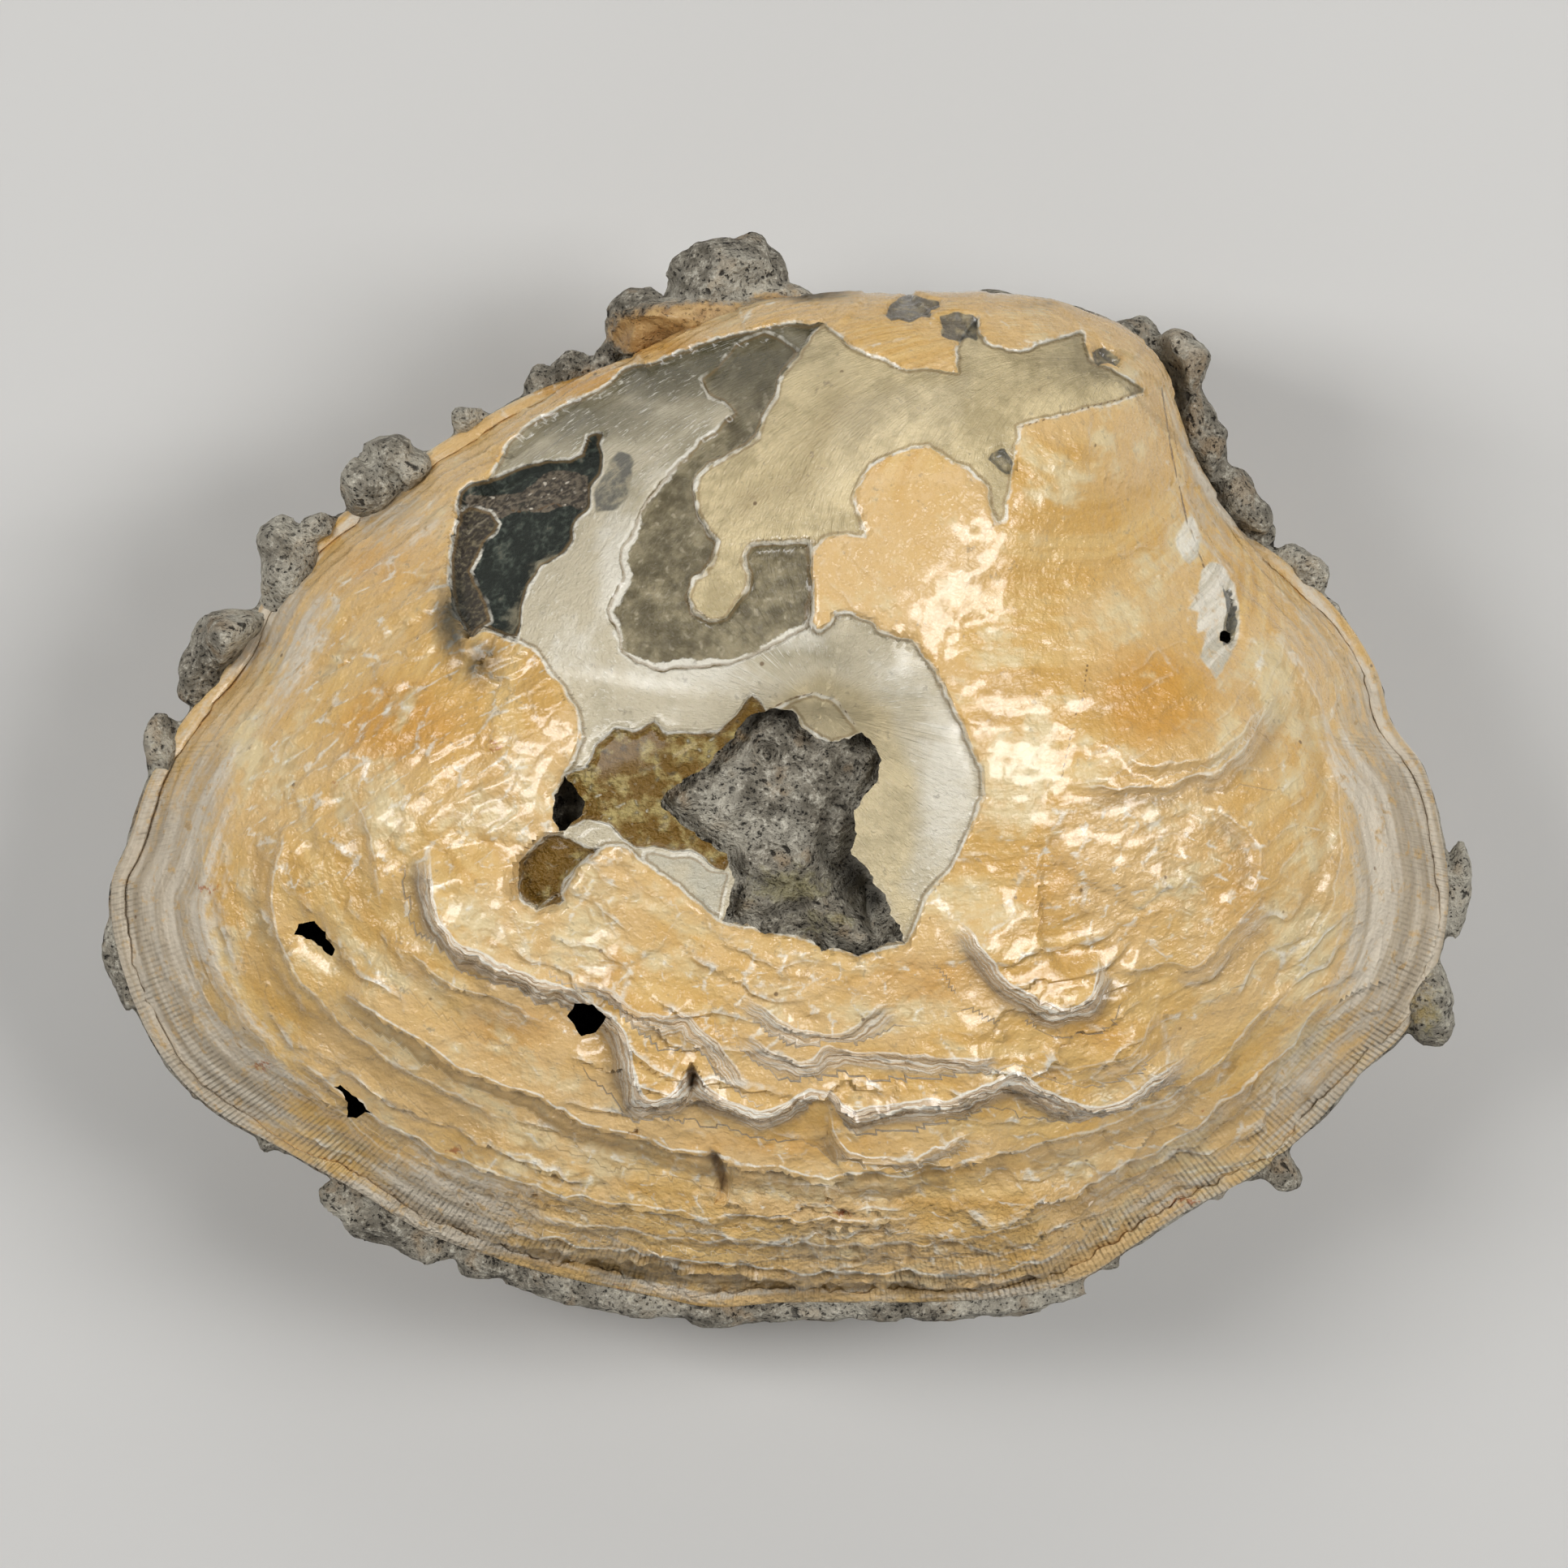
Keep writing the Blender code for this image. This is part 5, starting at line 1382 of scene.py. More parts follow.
@dataclass(frozen=True)
class Sandstone:
    """Grey porous sandstone with dark pores, pale grains and, by the hinge, a honey-brown crust."""

    grey: tuple = tint(152, 145, 130)
    pale: tuple = tint(208, 202, 186)
    dark: tuple = tint(94, 88, 76)
    # Dark pores, and also the tint of painted shade in pits and holes
    pore: tuple = tint(26, 22, 17)
    ochre: tuple = tint(150, 118, 74)
    crust: tuple = tint(204, 168, 110)
    crust_brown: tuple = tint(156, 116, 64)
    moss: tuple = tint(120, 112, 52)

    def material(self) -> bpy.types.Material:
        """The finish of the filling and of the lumps on the rim."""
        g = Graph("sandstone_finish")
        crust, moss, deep = g.mark("crust"), g.mark("moss"), g.mark("deep")
        grain, clump, broad = g.noise(3000, 2, 0.6), g.noise(900, 4, 0.65), g.noise(260, 3, 0.6)
        g.named.update(grain=grain, clump=clump, broad=broad)
        grains = g.cells(1700)
        spots = g.cells(620, at=g.bent(900, 0.0016))
        holes = (spots + g.sway(clump=0.9)).ease(0.20, 0.08) * broad.ease(0.40, 0.55)
        pores = (grain.ease(0.42, 0.32) * clump.ease(0.60, 0.42)).most(holes)
        coated = (crust + g.sway(clump=0.8)).ease(0.35, 0.65)
        coating = g.blend((broad * 0.5 + clump * 0.6).ease(0.38, 0.7), self.crust_brown, self.crust)
        colour = g.coats(
            self.dark,
            ((g.sway(clump=1.6, broad=1.3) + 0.5).ease(0.05, 0.75), self.grey),
            ((g.sway(clump=1.8, grain=1.4) + 0.3).ease(0.35, 0.8) * 0.75, self.pale),
            (broad.ease(0.54, 0.66) * 0.4, self.ochre),
            (g.noise(120, 3, 0.6).ease(0.46, 0.62) * 0.45, self.pale),
            (grains.ease(0.26, 0.14) * clump.ease(0.5, 0.6) * 0.7, self.pale),
            (pores * 0.9, self.pore),
            (coated * 0.92, coating),
            ((moss + g.sway(clump=1.8, broad=0.8)).ease(0.45, 0.95) * 0.55, self.moss),
            # Painted shade, near black, in the sand's pits, crevices and under the small holes
            (deep.ease(0.0, 1.0) * 0.85, self.pore),
        )
        relief = grain * 0.3 + clump * 0.8 - pores * 0.5 + grains * 0.15
        g.bump(relief * (1.0 - coated * 0.6))
        g.dress(base_color=colour, roughness=0.9 - coated * 0.45, coat_weight=coated * 0.35)
        g.dress(coat_roughness=0.2, specular_ior_level=0.35)
        return g.material


def depth_of_all(pixels: Array, outlines: Iterable[Knots], form: ClamForm) -> Array:
    """Millimetres inside the outline, of several, that reaches deepest around each place."""
    return np.max([form.depth_in(pixels, outline) for outline in outlines], axis=0)


@dataclass
class Valve:
    """What both valves share: a smooth arch that a relief breaks up, steps near the margin, a hollow."""

    form: ClamForm

    @staticmethod
    def from_rim(pixels: Array, share: Array, seed: int) -> Array:
        """Millimetres from the valve's rim, unevenly, by each place's share of the way there."""
        even = np.clip(RIM_SHARE - share, 0.0, 1.0) * ARCH_MM
        return even + 0.35 * flat_noise(pixels, 70.0, seed)

    @staticmethod
    def stepped_down(relief: Array, away: Array) -> Array:
        """The relief with the steps of the bands along the margin."""
        for place, drop in MARGIN_STEPS:
            relief = relief - drop * smooth((place - away) / 0.45 + 0.5)
        return relief

    def arch(self, name: str, cells: int) -> tuple[bpy.types.Object, Array, Array, Array]:
        """The smooth outside of the valve.

        Args:
            name: the piece's name.
            cells: cells from the crown to the rim.

        Returns:
            The piece, and its vertices' shares of the way to the rim, places and outward directions.
        """
        piece = Bench.half_ball(name, cells)
        bearing, share = Bench.spread(piece)
        points = self.form.outer_arch(bearing, share)
        Bench.move(piece, points)
        normals = Bench.normals(piece)
        normals *= np.sign(np.sum(normals * (points - points.mean(axis=0)), axis=1).mean())
        return piece, share, points, normals

    @staticmethod
    def lifted(relief: Array, share: Array) -> Array:
        """The relief in metres, eased off at the seam, as a column."""
        return (relief * (smooth((1.0 - share) / SEAM_EASE) * MILLIMETRE))[:, None]

    def hollow(self) -> bpy.types.Object:
        """The hollow of the valve, as a cutter."""
        piece = Bench.half_ball("valve_hollow", PLAIN_CELLS)
        bearing, share = Bench.spread(piece)
        Bench.move(piece, self.form.inner_arch(bearing, share, 0.0))
        Bench.close(piece)
        return piece

    @staticmethod
    def carve(piece: bpy.types.Object, outside: bpy.types.Material, cutters: Sequence) -> None:
        """Dress a valve, and cut it with cutters that leave broken shell behind.

        Args:
            piece: the valve.
            outside: the finish of its outside.
            cutters: the cutters, which are used up.
        """
        broken = BrokenShell().material()
        for part in (piece, *cutters):
            part.data.materials.append(outside)
            part.data.materials.append(broken)
        for cutter in cutters:
            cutter.data.polygons.foreach_set("material_index", np.ones(len(cutter.data.polygons), np.int32))
            Bench.cut(piece, cutter)

    def finish(self, piece: bpy.types.Object) -> bpy.types.Object:
        """Shade the valve smooth but for its sharp edges, and put it in its place."""
        Bench.soften(piece, SHARP_SHELL_EDGE)
        return settle_in_place(piece, self.form)


@dataclass
class UpperValve(Valve):
    """The valve that the photograph shows, with its flaked layers, ledges, pits and holes."""

    cells: int = 176
    quick_cells: int = 100
    cutter_top: float = 0.033
    cutter_bottom: float = 0.002
    tooth_px: float = 5.0

    marks = (
        "grey", "brown", "cream", "beige", "window", "floor", "sandy", "left", "olive", "nacre", "smear",
        "beyond", "scar", "shade", "dusted", "frost_and_painted_highlight", "rough", "pit", "slit", "ledge", "power", "leafy",
        "crack", "margin", "age", "around", "ring", "ringed", "flake", "chip", "ribbed", "warm", "pale",
        "dark", "chalk", "rust",
    )

    def ragged(self, pixels: Array) -> Array:
        """The places, jittered so that outlines through them run unevenly."""
        return pixels + np.column_stack([
            octaves(pixels, (3.2, 26.0, 31), (1.5, 9.0, 32)), octaves(pixels, (3.2, 26.0, 33), (1.5, 9.0, 34))
        ])

    def layers(self, pixels: Array) -> dict[str, Array]:
        """Depths in millimetres inside the outlines of what has flaked away."""
        uneven = self.ragged(pixels)
        outlines = {
            "grey": [GREY_FIELD], "brown": [BROWN_LAYER], "cream": [CREAM_PLATE], "beige": [BEIGE_RIM],
            "window": [WINDOW], "floor": [WINDOW_FLOOR], "sandy": [WINDOW_BAND], "left": [WINDOW_LEFT],
            "olive": [OLIVE_LAYER, OLIVE_WINDOW], "nacre": [NACRE_FLAKE], "smear": [GREY_SMEAR],
            "beyond": [ARC_FLAKE], "scar": [SCAR, SCAR_FLAKE],
        }
        found = {name: depth_of_all(uneven, lines, self.form) for name, lines in outlines.items()}
        found["brown"] = np.minimum(found["brown"], np.maximum(-found["cream"], -6.0))
        return found

    def ledge_marks(self, pixels: Array) -> tuple[Array, Array, Array, Array]:
        """The ledges' relief, the signed distance to the nearest one, and how strong and leafy that one is.

        Args:
            pixels: places on the photograph.

        Returns:
            Height, signed distance in millimetres, and strength and leafiness from 0 to 1.
        """
        uneven = pixels + np.column_stack([
            octaves(pixels, (4.0, 34.0, 41), (2.0, 12.0, 43)),
            octaves(pixels, (6.0, 30.0, 42), (2.5, 12.0, 44)),
        ])
        height, power, leafy = np.zeros((3, len(pixels)))
        nearest = np.full(len(pixels), LEDGE_REACH_MM)
        for ledge in LEDGES:
            distance, side, along, length = nearest_on_line(uneven, rounded(ledge.knots), False)
            distance /= self.form.per_mm
            fade = smooth(along / LEDGE_FADE_PX) * smooth((length - along) / LEDGE_FADE_PX)
            signed = distance * side
            leaves = distance / ledge.step * LEAVES_PER_STEP
            stairs = (np.floor(leaves) + smooth((np.mod(leaves, 1.0) - 0.5) / 0.5)) / LEAVES_PER_STEP
            body = np.where(signed > 0, np.exp(-distance / 6.5), 1.0 - np.clip(stairs, 0.0, 1.0))
            height += ledge.height * fade * body
            closer = distance < np.abs(nearest)
            nearest = np.where(closer, signed, nearest)
            power = np.where(closer, fade * min(1.0, ledge.height / 1.1), power)
            leafy = np.where(closer, fade * ledge.leafy, leafy)
        return height, np.clip(nearest, -LEDGE_REACH_MM, LEDGE_REACH_MM), power, leafy

    def rings(self, pixels: Array) -> tuple[Array, Array]:
        """Growth lamellae: how many lie between the beak and each place, and their height in millimetres."""
        wander = octaves(pixels, (0.020, 95.0, 51), (0.010, 40.0, 52), (0.004, 16.0, 50))
        lower = smooth((pixels[:, 1] - 1040.0) / 240.0)
        height = (0.42 * lower + 0.08) * smooth(0.45 + 0.9 * flat_noise(pixels, 75.0, 53))
        return (self.form.growth_age(pixels) + wander) * RING_COUNT, height

    def flakes(self, pixels: Array) -> tuple[Array, Array, Array]:
        """Overlapping flakes.

        Args:
            pixels: places on the photograph.

        Returns:
            Their relief, and the distances to a large and a small one's edge, all in millimetres.
        """
        bent = pixels + np.column_stack([
            octaves(pixels, (9.0, 40.0, 58), (3.0, 13.0, 59)),
            octaves(pixels, (9.0, 40.0, 60), (3.0, 13.0, 49)),
        ])
        streaks, streak_edge = facets(pixels + 0.35 * (bent - pixels), 20.0, 84.0, math.radians(60.0), 61)
        small, chip_edge = facets(bent, 42.0, 24.0, 0.2, 65)
        large, edge = facets(bent, 110.0, 70.0, 0.6, 69)
        fan, broken, calm = (patches(pixels, SPOTS[name]) for name in ("fan", "broken", "calm"))
        chips = 0.34 * streaks * fan + 0.19 * small * broken + 0.18 * large * (1.0 - 0.8 * calm)
        near = np.where(fan > 0.5, streak_edge, np.where(broken > 0.4, chip_edge, FAR))
        return chips, np.where(calm > 0.4, 9.0, edge / self.form.per_mm), near / self.form.per_mm

    def relief(self, pixels: Array, share: Array) -> Array:
        """Height in millimetres of all that breaks the smooth arch."""
        layer = self.layers(pixels)
        cut = {name: smooth(layer[name] / 0.32 + 0.5) for name in ("grey", "brown", "cream", "nacre")}
        cut |= {name: smooth(layer[name] / 0.5 + 0.5) for name in ("window", "floor", "olive")}
        cut["floor"] = cut["floor"] * cut["window"]
        level = np.zeros(len(pixels))
        for name, depth in LAYER_DEPTHS:
            level = level + (depth - level) * cut[name]
        field = smooth(np.max([layer["grey"], layer["window"], layer["olive"]], axis=0) / 1.0 + 0.5)
        for pit in PITS:
            level -= pit.depth * smooth(self.form.depth_in(self.ragged(pixels), pit.outline) / 0.5 + 0.5)
        steps = self.ledge_marks(pixels)[0]

        rough = smooth((pixels[:, 1] - 1380.0) / 90.0)
        count, ring_height = self.rings(pixels)
        lamellae = ring_height * np.mod(count, 1.0) + 0.5 * ring_height * np.mod(count * 0.37, 1.0)
        waves = octaves(pixels, (0.16, 120.0, 54), (0.09, 48.0, 55))
        waves += 0.045 * flat_noise(pixels, 20.0, 56) + (0.05 + 0.20 * rough) * flat_noise(pixels, 11.0, 57)
        chips = self.flakes(pixels)[0]
        away = self.from_rim(pixels, share, 71)
        bands = self.stepped_down(np.zeros(len(pixels)), away)
        bands += 0.12 * np.mod(away / 0.85, 1.0) * smooth((9.0 - away) / 4.0)
        total = level + (steps + lamellae + chips) * (1.0 - field) + waves * (1.0 - 0.8 * field) + bands
        for outline in [SLOT_HOLE, *SMALL_HOLES]:
            total -= 0.5 * smooth((self.form.depth_in(pixels, outline) + 1.6) / 1.6)
        return total

    def shell(self) -> bpy.types.Object:
        """The outside of the valve with its relief, closed at the seam."""
        cells = self.cells
        piece, share, even, normals = self.arch("upper_valve_shell", cells)
        points = even
        for _ in range(2):
            relief = self.relief(self.form.in_photo(points), share)
            points = even + normals * self.lifted(relief, share)
        Bench.move(piece, points)
        Bench.close(piece)
        return piece

    def jagged(self, outline: Knots, seed: int) -> Array:
        """An outline with small teeth between its points."""
        points = np.array(outline, float)
        rows = []
        for start, end in zip(points, np.roll(points, -1, axis=0)):
            steps = max(2, int(np.hypot(*(end - start)) / self.tooth_px))
            rows += [start + (end - start) * step / steps for step in range(steps)]
        rows = np.array(rows)
        return rows + 2.4 * np.column_stack([flat_noise(rows, 5.0, seed), flat_noise(rows, 5.0, seed + 1)])

    def hole_cutters(self) -> bpy.types.Object:
        """Prisms through the valve, which narrow upwards as the view does."""
        points, faces = [], []
        for number, outline in enumerate([CENTRAL_HOLE, SLOT_HOLE, *SMALL_HOLES]):
            ring = self.form.in_plan(self.jagged(outline, 80 + 2 * number))
            count, start = len(ring), len(points)
            for level in (self.cutter_bottom, self.cutter_top):
                points += [(x, y, level) for x, y in ring * (1.0 - level / self.form.view_distance)]
            low = list(range(start, start + count))
            high = [i + count for i in low]
            faces += [low, high]
            faces += [(low[i], low[(i + 1) % count], high[(i + 1) % count], high[i]) for i in range(count)]
        piece = Bench.mesh_piece("hole_cutters", points, faces)
        Bench.face_out(piece)
        return piece

    def write_marks(self, piece: bpy.types.Object) -> None:
        """Keep on the vertices what the finish needs to know about each place."""
        form = self.form
        points = Bench.points(piece)
        pixels = form.in_photo(points)
        found = self.layers(pixels)
        found["brown"] = np.minimum(found["brown"], found["grey"] + 6.0)
        for name in ("warm", "pale", "dark", "chalk", "rust", "shade", "dusted", "frost_and_painted_highlight"):
            found[name] = patches(pixels, SPOTS[name])
        found["rough"] = smooth((pixels[:, 1] - 1400.0) / 120.0)
        found["ribbed"] = smooth((pixels[:, 1] - 860.0) / 120.0)
        uneven = self.ragged(pixels)
        found["pit"] = depth_of_all(uneven, [pit.outline for pit in PITS if not pit.slit], form)
        found["slit"] = depth_of_all(uneven, [pit.outline for pit in PITS if pit.slit], form)
        found["ring"], ring_height = self.rings(pixels)
        found["ringed"] = np.clip(ring_height / 0.3, 0.0, 1.0)
        _, found["flake"], found["chip"] = self.flakes(pixels)
        _, found["ledge"], found["power"], found["leafy"] = self.ledge_marks(pixels)
        cracks = [nearest_on_line(pixels, line, False)[0] for line in CRACKS]
        found["crack"] = np.min(cracks, axis=0) / form.per_mm
        found["margin"] = form.from_margin(pixels)
        found["chalk"] = found["chalk"] * smooth((12.5 - found["margin"]) / 7.0)
        found["age"] = form.growth_age(pixels)
        found["around"] = around_margin(form, points)
        for name in self.marks:
            Bench.note(piece, name, np.clip(found[name], -9.0, FAR))

    def build(self) -> bpy.types.Object:
        """Model the valve, mark it and dress it."""
        piece = self.shell()
        self.carve(piece, HoneyShell().material(), (self.hollow(), self.hole_cutters()))
        self.write_marks(piece)
        return self.finish(piece)


def around_margin(form: ClamForm, points: Array) -> Array:
    """Millimetres along the margin, both ways, from its middle opposite the umbo."""
    middle = form.in_plan(form.crown_px)
    bearing = np.arctan2(points[:, 1] - middle[1], points[:, 0] - middle[0])
    turned = np.mod(bearing - form.umbo_turn, 2 * math.pi)
    angles = np.linspace(0.0, 2 * math.pi, 721)
    reach = form.reach_from(form.crown_px, angles + form.umbo_turn)
    rim = np.column_stack([reach * np.cos(angles), reach * np.sin(angles)])
    run = np.concatenate([[0.0], np.cumsum(np.hypot(*np.diff(rim, axis=0).T))])
    return np.abs(np.interp(turned, angles, run) - run[-1] / 2.0) / MILLIMETRE


def settle_in_place(piece: bpy.types.Object, form: ClamForm) -> bpy.types.Object:
    """Move a piece from the shell's own frame to where the solids stand."""
    Bench.move(piece, Bench.points(piece) + form.shift)
    return piece


@dataclass
class LowerValve(Valve):
    """The valve that the fossil lies on, with growth ledges, peeled patches and a flat resting spot."""

    cells: int = 164
    quick_cells: int = 60
    resting_cut: float = 0.0007

    def peeled(self, pixels: Array) -> Array:
        """Depth in millimetres inside places where the outer layer has peeled."""
        return octaves(pixels, (2.6, 230.0, 91), (1.1, 80.0, 92), (0.4, 25.0, 93)) - 1.0

    def steps(self, pixels: Array) -> Array:
        """How many growth ledges lie between the beak and each place."""
        age = self.form.growth_age(pixels)
        wander = octaves(pixels, (0.020, 210.0, 94), (0.008, 60.0, 95))
        return np.clip(age + wander, 0.0, 1.2) ** 1.4 * 8.0

    @staticmethod
    def saw(count: Array, top: float) -> Array:
        """A slow rise to the top share of each step, and the drop after it."""
        part = np.mod(count, 1.0)
        return np.where(part > top, 1.0 - smooth((part - top) / (1.0 - top)), part / top)

    def relief(self, pixels: Array, share: Array) -> Array:
        """Height in millimetres of all that breaks the smooth arch."""
        age = self.form.growth_age(pixels)
        relief = 1.15 * self.saw(self.steps(pixels), STEP_TOP) * smooth(age * 2.0)
        wander = octaves(pixels, (0.016, 70.0, 96), (0.008, 30.0, 97))
        fine = self.saw((age + wander) * RING_COUNT, 0.6)
        relief += 0.26 * fine * (0.6 + 0.4 * flat_noise(pixels, 70.0, 98))
        relief -= 0.55 * smooth(self.peeled(pixels) / 0.35 + 0.5)
        relief += octaves(pixels, (0.20, 130.0, 99), (0.12, 50.0, 100))
        relief += 0.07 * flat_noise(pixels, 18.0, 101) + 0.16 * facets(pixels, 80.0, 50.0, 0.4, 102)[0]
        return self.stepped_down(relief, self.from_rim(pixels, share, 103))

    def build(self) -> bpy.types.Object:
        """Model the valve, mark it and dress it."""
        form = self.form
        cells = self.cells
        piece, share, points, normals = self.arch("lower_valve_shell", cells)
        points = points + normals * self.lifted(self.relief(form.below(points), share), share)
        points[:, 2] = np.minimum(points[:, 2], form.depth - self.resting_cut)
        Bench.move(piece, points)
        Bench.close(piece)
        cutter = self.hollow()
        for part in (piece, cutter):
            Bench.mirror_down(part)
        self.carve(piece, WornShell().material(), [cutter])
        points = Bench.points(piece)
        pixels = form.below(points)
        for name, values in {
            "age": form.growth_age(pixels), "around": around_margin(form, points), "step": self.steps(pixels),
            "margin": form.from_margin(pixels), "bare": np.clip(self.peeled(pixels), -9.0, 9.0),
        }.items():
            Bench.note(piece, name, values)
        return self.finish(piece)


@dataclass(frozen=True)
class Lump:
    """A lump of sandstone on the rim: its middle in pixels, and in millimetres its height and half sizes."""

    x: float
    y: float
    height: float
    across: float
    along: float
    up: float


LUMPS = [Lump(*row) for row in (
    (890, 350, 3.0, 6.0, 3.4, 5.4), (925, 318, 2.4, 2.4, 1.8, 3.0), (855, 330, 2.2, 2.4, 2.0, 3.0),
    (935, 345, 1.0, 3.0, 2.6, 4.0), (795, 390, 2.0, 3.0, 2.4, 3.8), (778, 378, 2.4, 1.6, 1.2, 2.0),
    (868, 392, 4.6, 8.6, 2.8, 5.0), (790, 408, 3.0, 3.2, 2.2, 3.6), (950, 376, 4.6, 3.8, 1.8, 4.6),
    (276, 784, 2.2, 3.0, 2.4, 3.8), (300, 768, 1.6, 1.8, 1.4, 2.6), (250, 826, 0.6, 2.0, 2.4, 2.6),
    (238, 850, 0.4, 1.3, 1.2, 1.8), (200, 925, 0.6, 1.6, 3.2, 2.2), (350, 672, 1.8, 2.2, 2.6, 3.0),
    (362, 705, 1.6, 2.8, 3.0, 3.2), (340, 722, 1.4, 1.6, 2.4, 2.6), (390, 648, 1.6, 1.8, 1.2, 2.2),
    (448, 598, 1.6, 2.8, 2.6, 3.0), (480, 560, 1.6, 2.6, 1.8, 2.8), (500, 575, 1.4, 2.2, 2.2, 2.8),
    (575, 515, 1.2, 1.6, 1.3, 2.2), (1388, 408, 3.2, 1.7, 1.6, 3.0), (1408, 416, 2.6, 1.6, 2.0, 3.0),
    (1445, 428, 3.0, 1.7, 1.6, 3.0), (1462, 450, 3.0, 2.0, 2.6, 4.2), (1476, 520, 2.0, 1.8, 3.6, 4.4),
    (1492, 560, 2.0, 1.6, 2.6, 3.6), (1520, 606, 1.6, 2.0, 2.8, 3.6), (1545, 640, 1.4, 1.5, 1.6, 2.6),
    (1612, 712, 0.6, 2.0, 1.8, 2.0), (1797, 1095, -0.2, 1.1, 4.2, 1.8), (1752, 1230, 0.2, 2.4, 3.8, 2.2),
    (1764, 1262, 0.0, 1.8, 1.8, 1.6), (1576, 1442, 0.2, 2.1, 1.9, 1.8), (1240, 1608, -0.2, 4.6, 1.3, 1.8),
    (1305, 1590, -0.2, 2.6, 1.1, 1.5), (1165, 1618, -0.4, 3.4, 1.0, 1.6),
    (1085, 1616, -0.5, 3.8, 0.9, 1.5), (1010, 1615, -0.6, 3.8, 1.0, 1.6), (945, 1618, -0.5, 3.6, 1.0, 1.5),
    (880, 1619, -0.4, 3.8, 1.2, 1.8), (810, 1610, -0.4, 3.8, 1.2, 1.6), (740, 1596, -0.4, 4.0, 1.4, 1.6),
    (668, 1579, -0.4, 3.8, 1.4, 1.6), (600, 1560, -0.4, 3.8, 1.5, 1.8), (540, 1538, -0.4, 3.4, 1.6, 1.6),
    (475, 1509, -0.4, 3.4, 2.0, 1.8), (425, 1476, -0.4, 2.2, 1.6, 1.5), (150, 1180, 0.0, 1.5, 4.6, 1.6),
)]

@dataclass
class SandFilling:
    """The sand that fills both valves, seen through the holes.

    Each of its pits has its middle in pixels, and its depth and radius in millimetres.
    """

    form: ClamForm
    cells: int = 150
    quick_cells: int = 90
    gather: float = 1.45
    pits: tuple = (
        (1052, 1075, 3.0, 2.4), (1075, 1110, 2.2, 1.8), (940, 930, 1.3, 0.9), (985, 1140, 1.8, 1.6),
        (1012, 1040, 0.9, 0.8),
    )
    pit_depth: float = 6.0
    slot_share: float = 0.35
    floor: float = 0.0012

    def drops(self, points: Array, pixels: Array) -> tuple[Array, Array]:
        """How far the sand of the upper valve lies below its smooth form.

        Args:
            points: places on the smooth form.
            pixels: where they are seen.

        Returns:
            The drop in millimetres, and how much painted shade darkens each place for lying low in a hole,
            pit or crevice.
        """
        form = self.form
        in_hole = form.depth_in(pixels, CENTRAL_HOLE)
        exposed = smooth(in_hole / 1.2 + 1.6)
        open_air = smooth(in_hole / 1.5)
        rough = 0.85 * lumpiness(points, 0.0045, 11) + 0.5 * lumpiness(points, 0.0021, 12)
        rough += 0.45 * lumpiness(points, 0.0012, 13) + 0.25 * lumpiness(points, 0.0007, 14)
        crevices = smooth((0.13 - np.abs(lumpiness(points, 0.0048, 18))) / 0.13) * open_air
        drop = exposed * (0.75 + rough) - 1.1 * open_air + 1.1 * crevices
        for x, y, depth, radius in self.pits:
            away = np.hypot(pixels[:, 0] - x, pixels[:, 1] - y) / form.per_mm
            drop += depth * smooth(1.25 - away / (1.5 * radius))
        deep = 0.55 * crevices * smooth(0.5 + lumpiness(points, 0.006, 19))
        holes = [(SLOT_HOLE, self.slot_share), *((outline, 1.0) for outline in SMALL_HOLES[:3])]
        for outline, strength in holes:
            hole = smooth(form.depth_in(pixels, outline) / 1.2 + 1.3)
            drop += self.pit_depth * strength * hole
            deep = np.maximum(deep, hole * strength)
        return drop, np.maximum(deep, patches(pixels, SPOTS["sand_deep_shade"]))

    def upper_half(self) -> bpy.types.Object:
        """The filling of the upper valve."""
        form = self.form
        piece = Bench.half_ball("sand_in_upper_valve", self.cells)
        bearing, share = Bench.spread(piece)
        points = form.inner_arch(bearing, share ** self.gather, form.filling_inset)
        pixels = form.in_photo(points)
        drop, deep = self.drops(points, pixels)
        points[:, 2] -= np.minimum(drop * MILLIMETRE, np.maximum(points[:, 2] - self.floor, 0.0))
        Bench.move(piece, points)
        Bench.close(piece)
        Bench.note(piece, "crust", patches(pixels, SPOTS["sand_crust"]))
        Bench.note(piece, "moss", patches(pixels, SPOTS["sand_moss"]))
        Bench.note(piece, "deep", deep)
        return piece

    def build(self) -> bpy.types.Object:
        """Model the filling of both valves and dress it."""
        upper = self.upper_half()
        lower = Bench.half_ball("sand_in_lower_valve", PLAIN_CELLS)
        bearing, share = Bench.spread(lower)
        Bench.move(lower, self.form.inner_arch(bearing, share, self.form.filling_inset))
        Bench.close(lower)
        Bench.mirror_down(lower)
        finish = Sandstone().material()
        for half in (upper, lower):
            half.data.materials.append(finish)
            Bench.soften(half, SHARP_SAND_EDGE)
            settle_in_place(half, self.form)
        Bench.take(upper)
        lower.select_set(True)
        bpy.ops.object.join()
        upper.name = "sandstone_filling"
        return upper


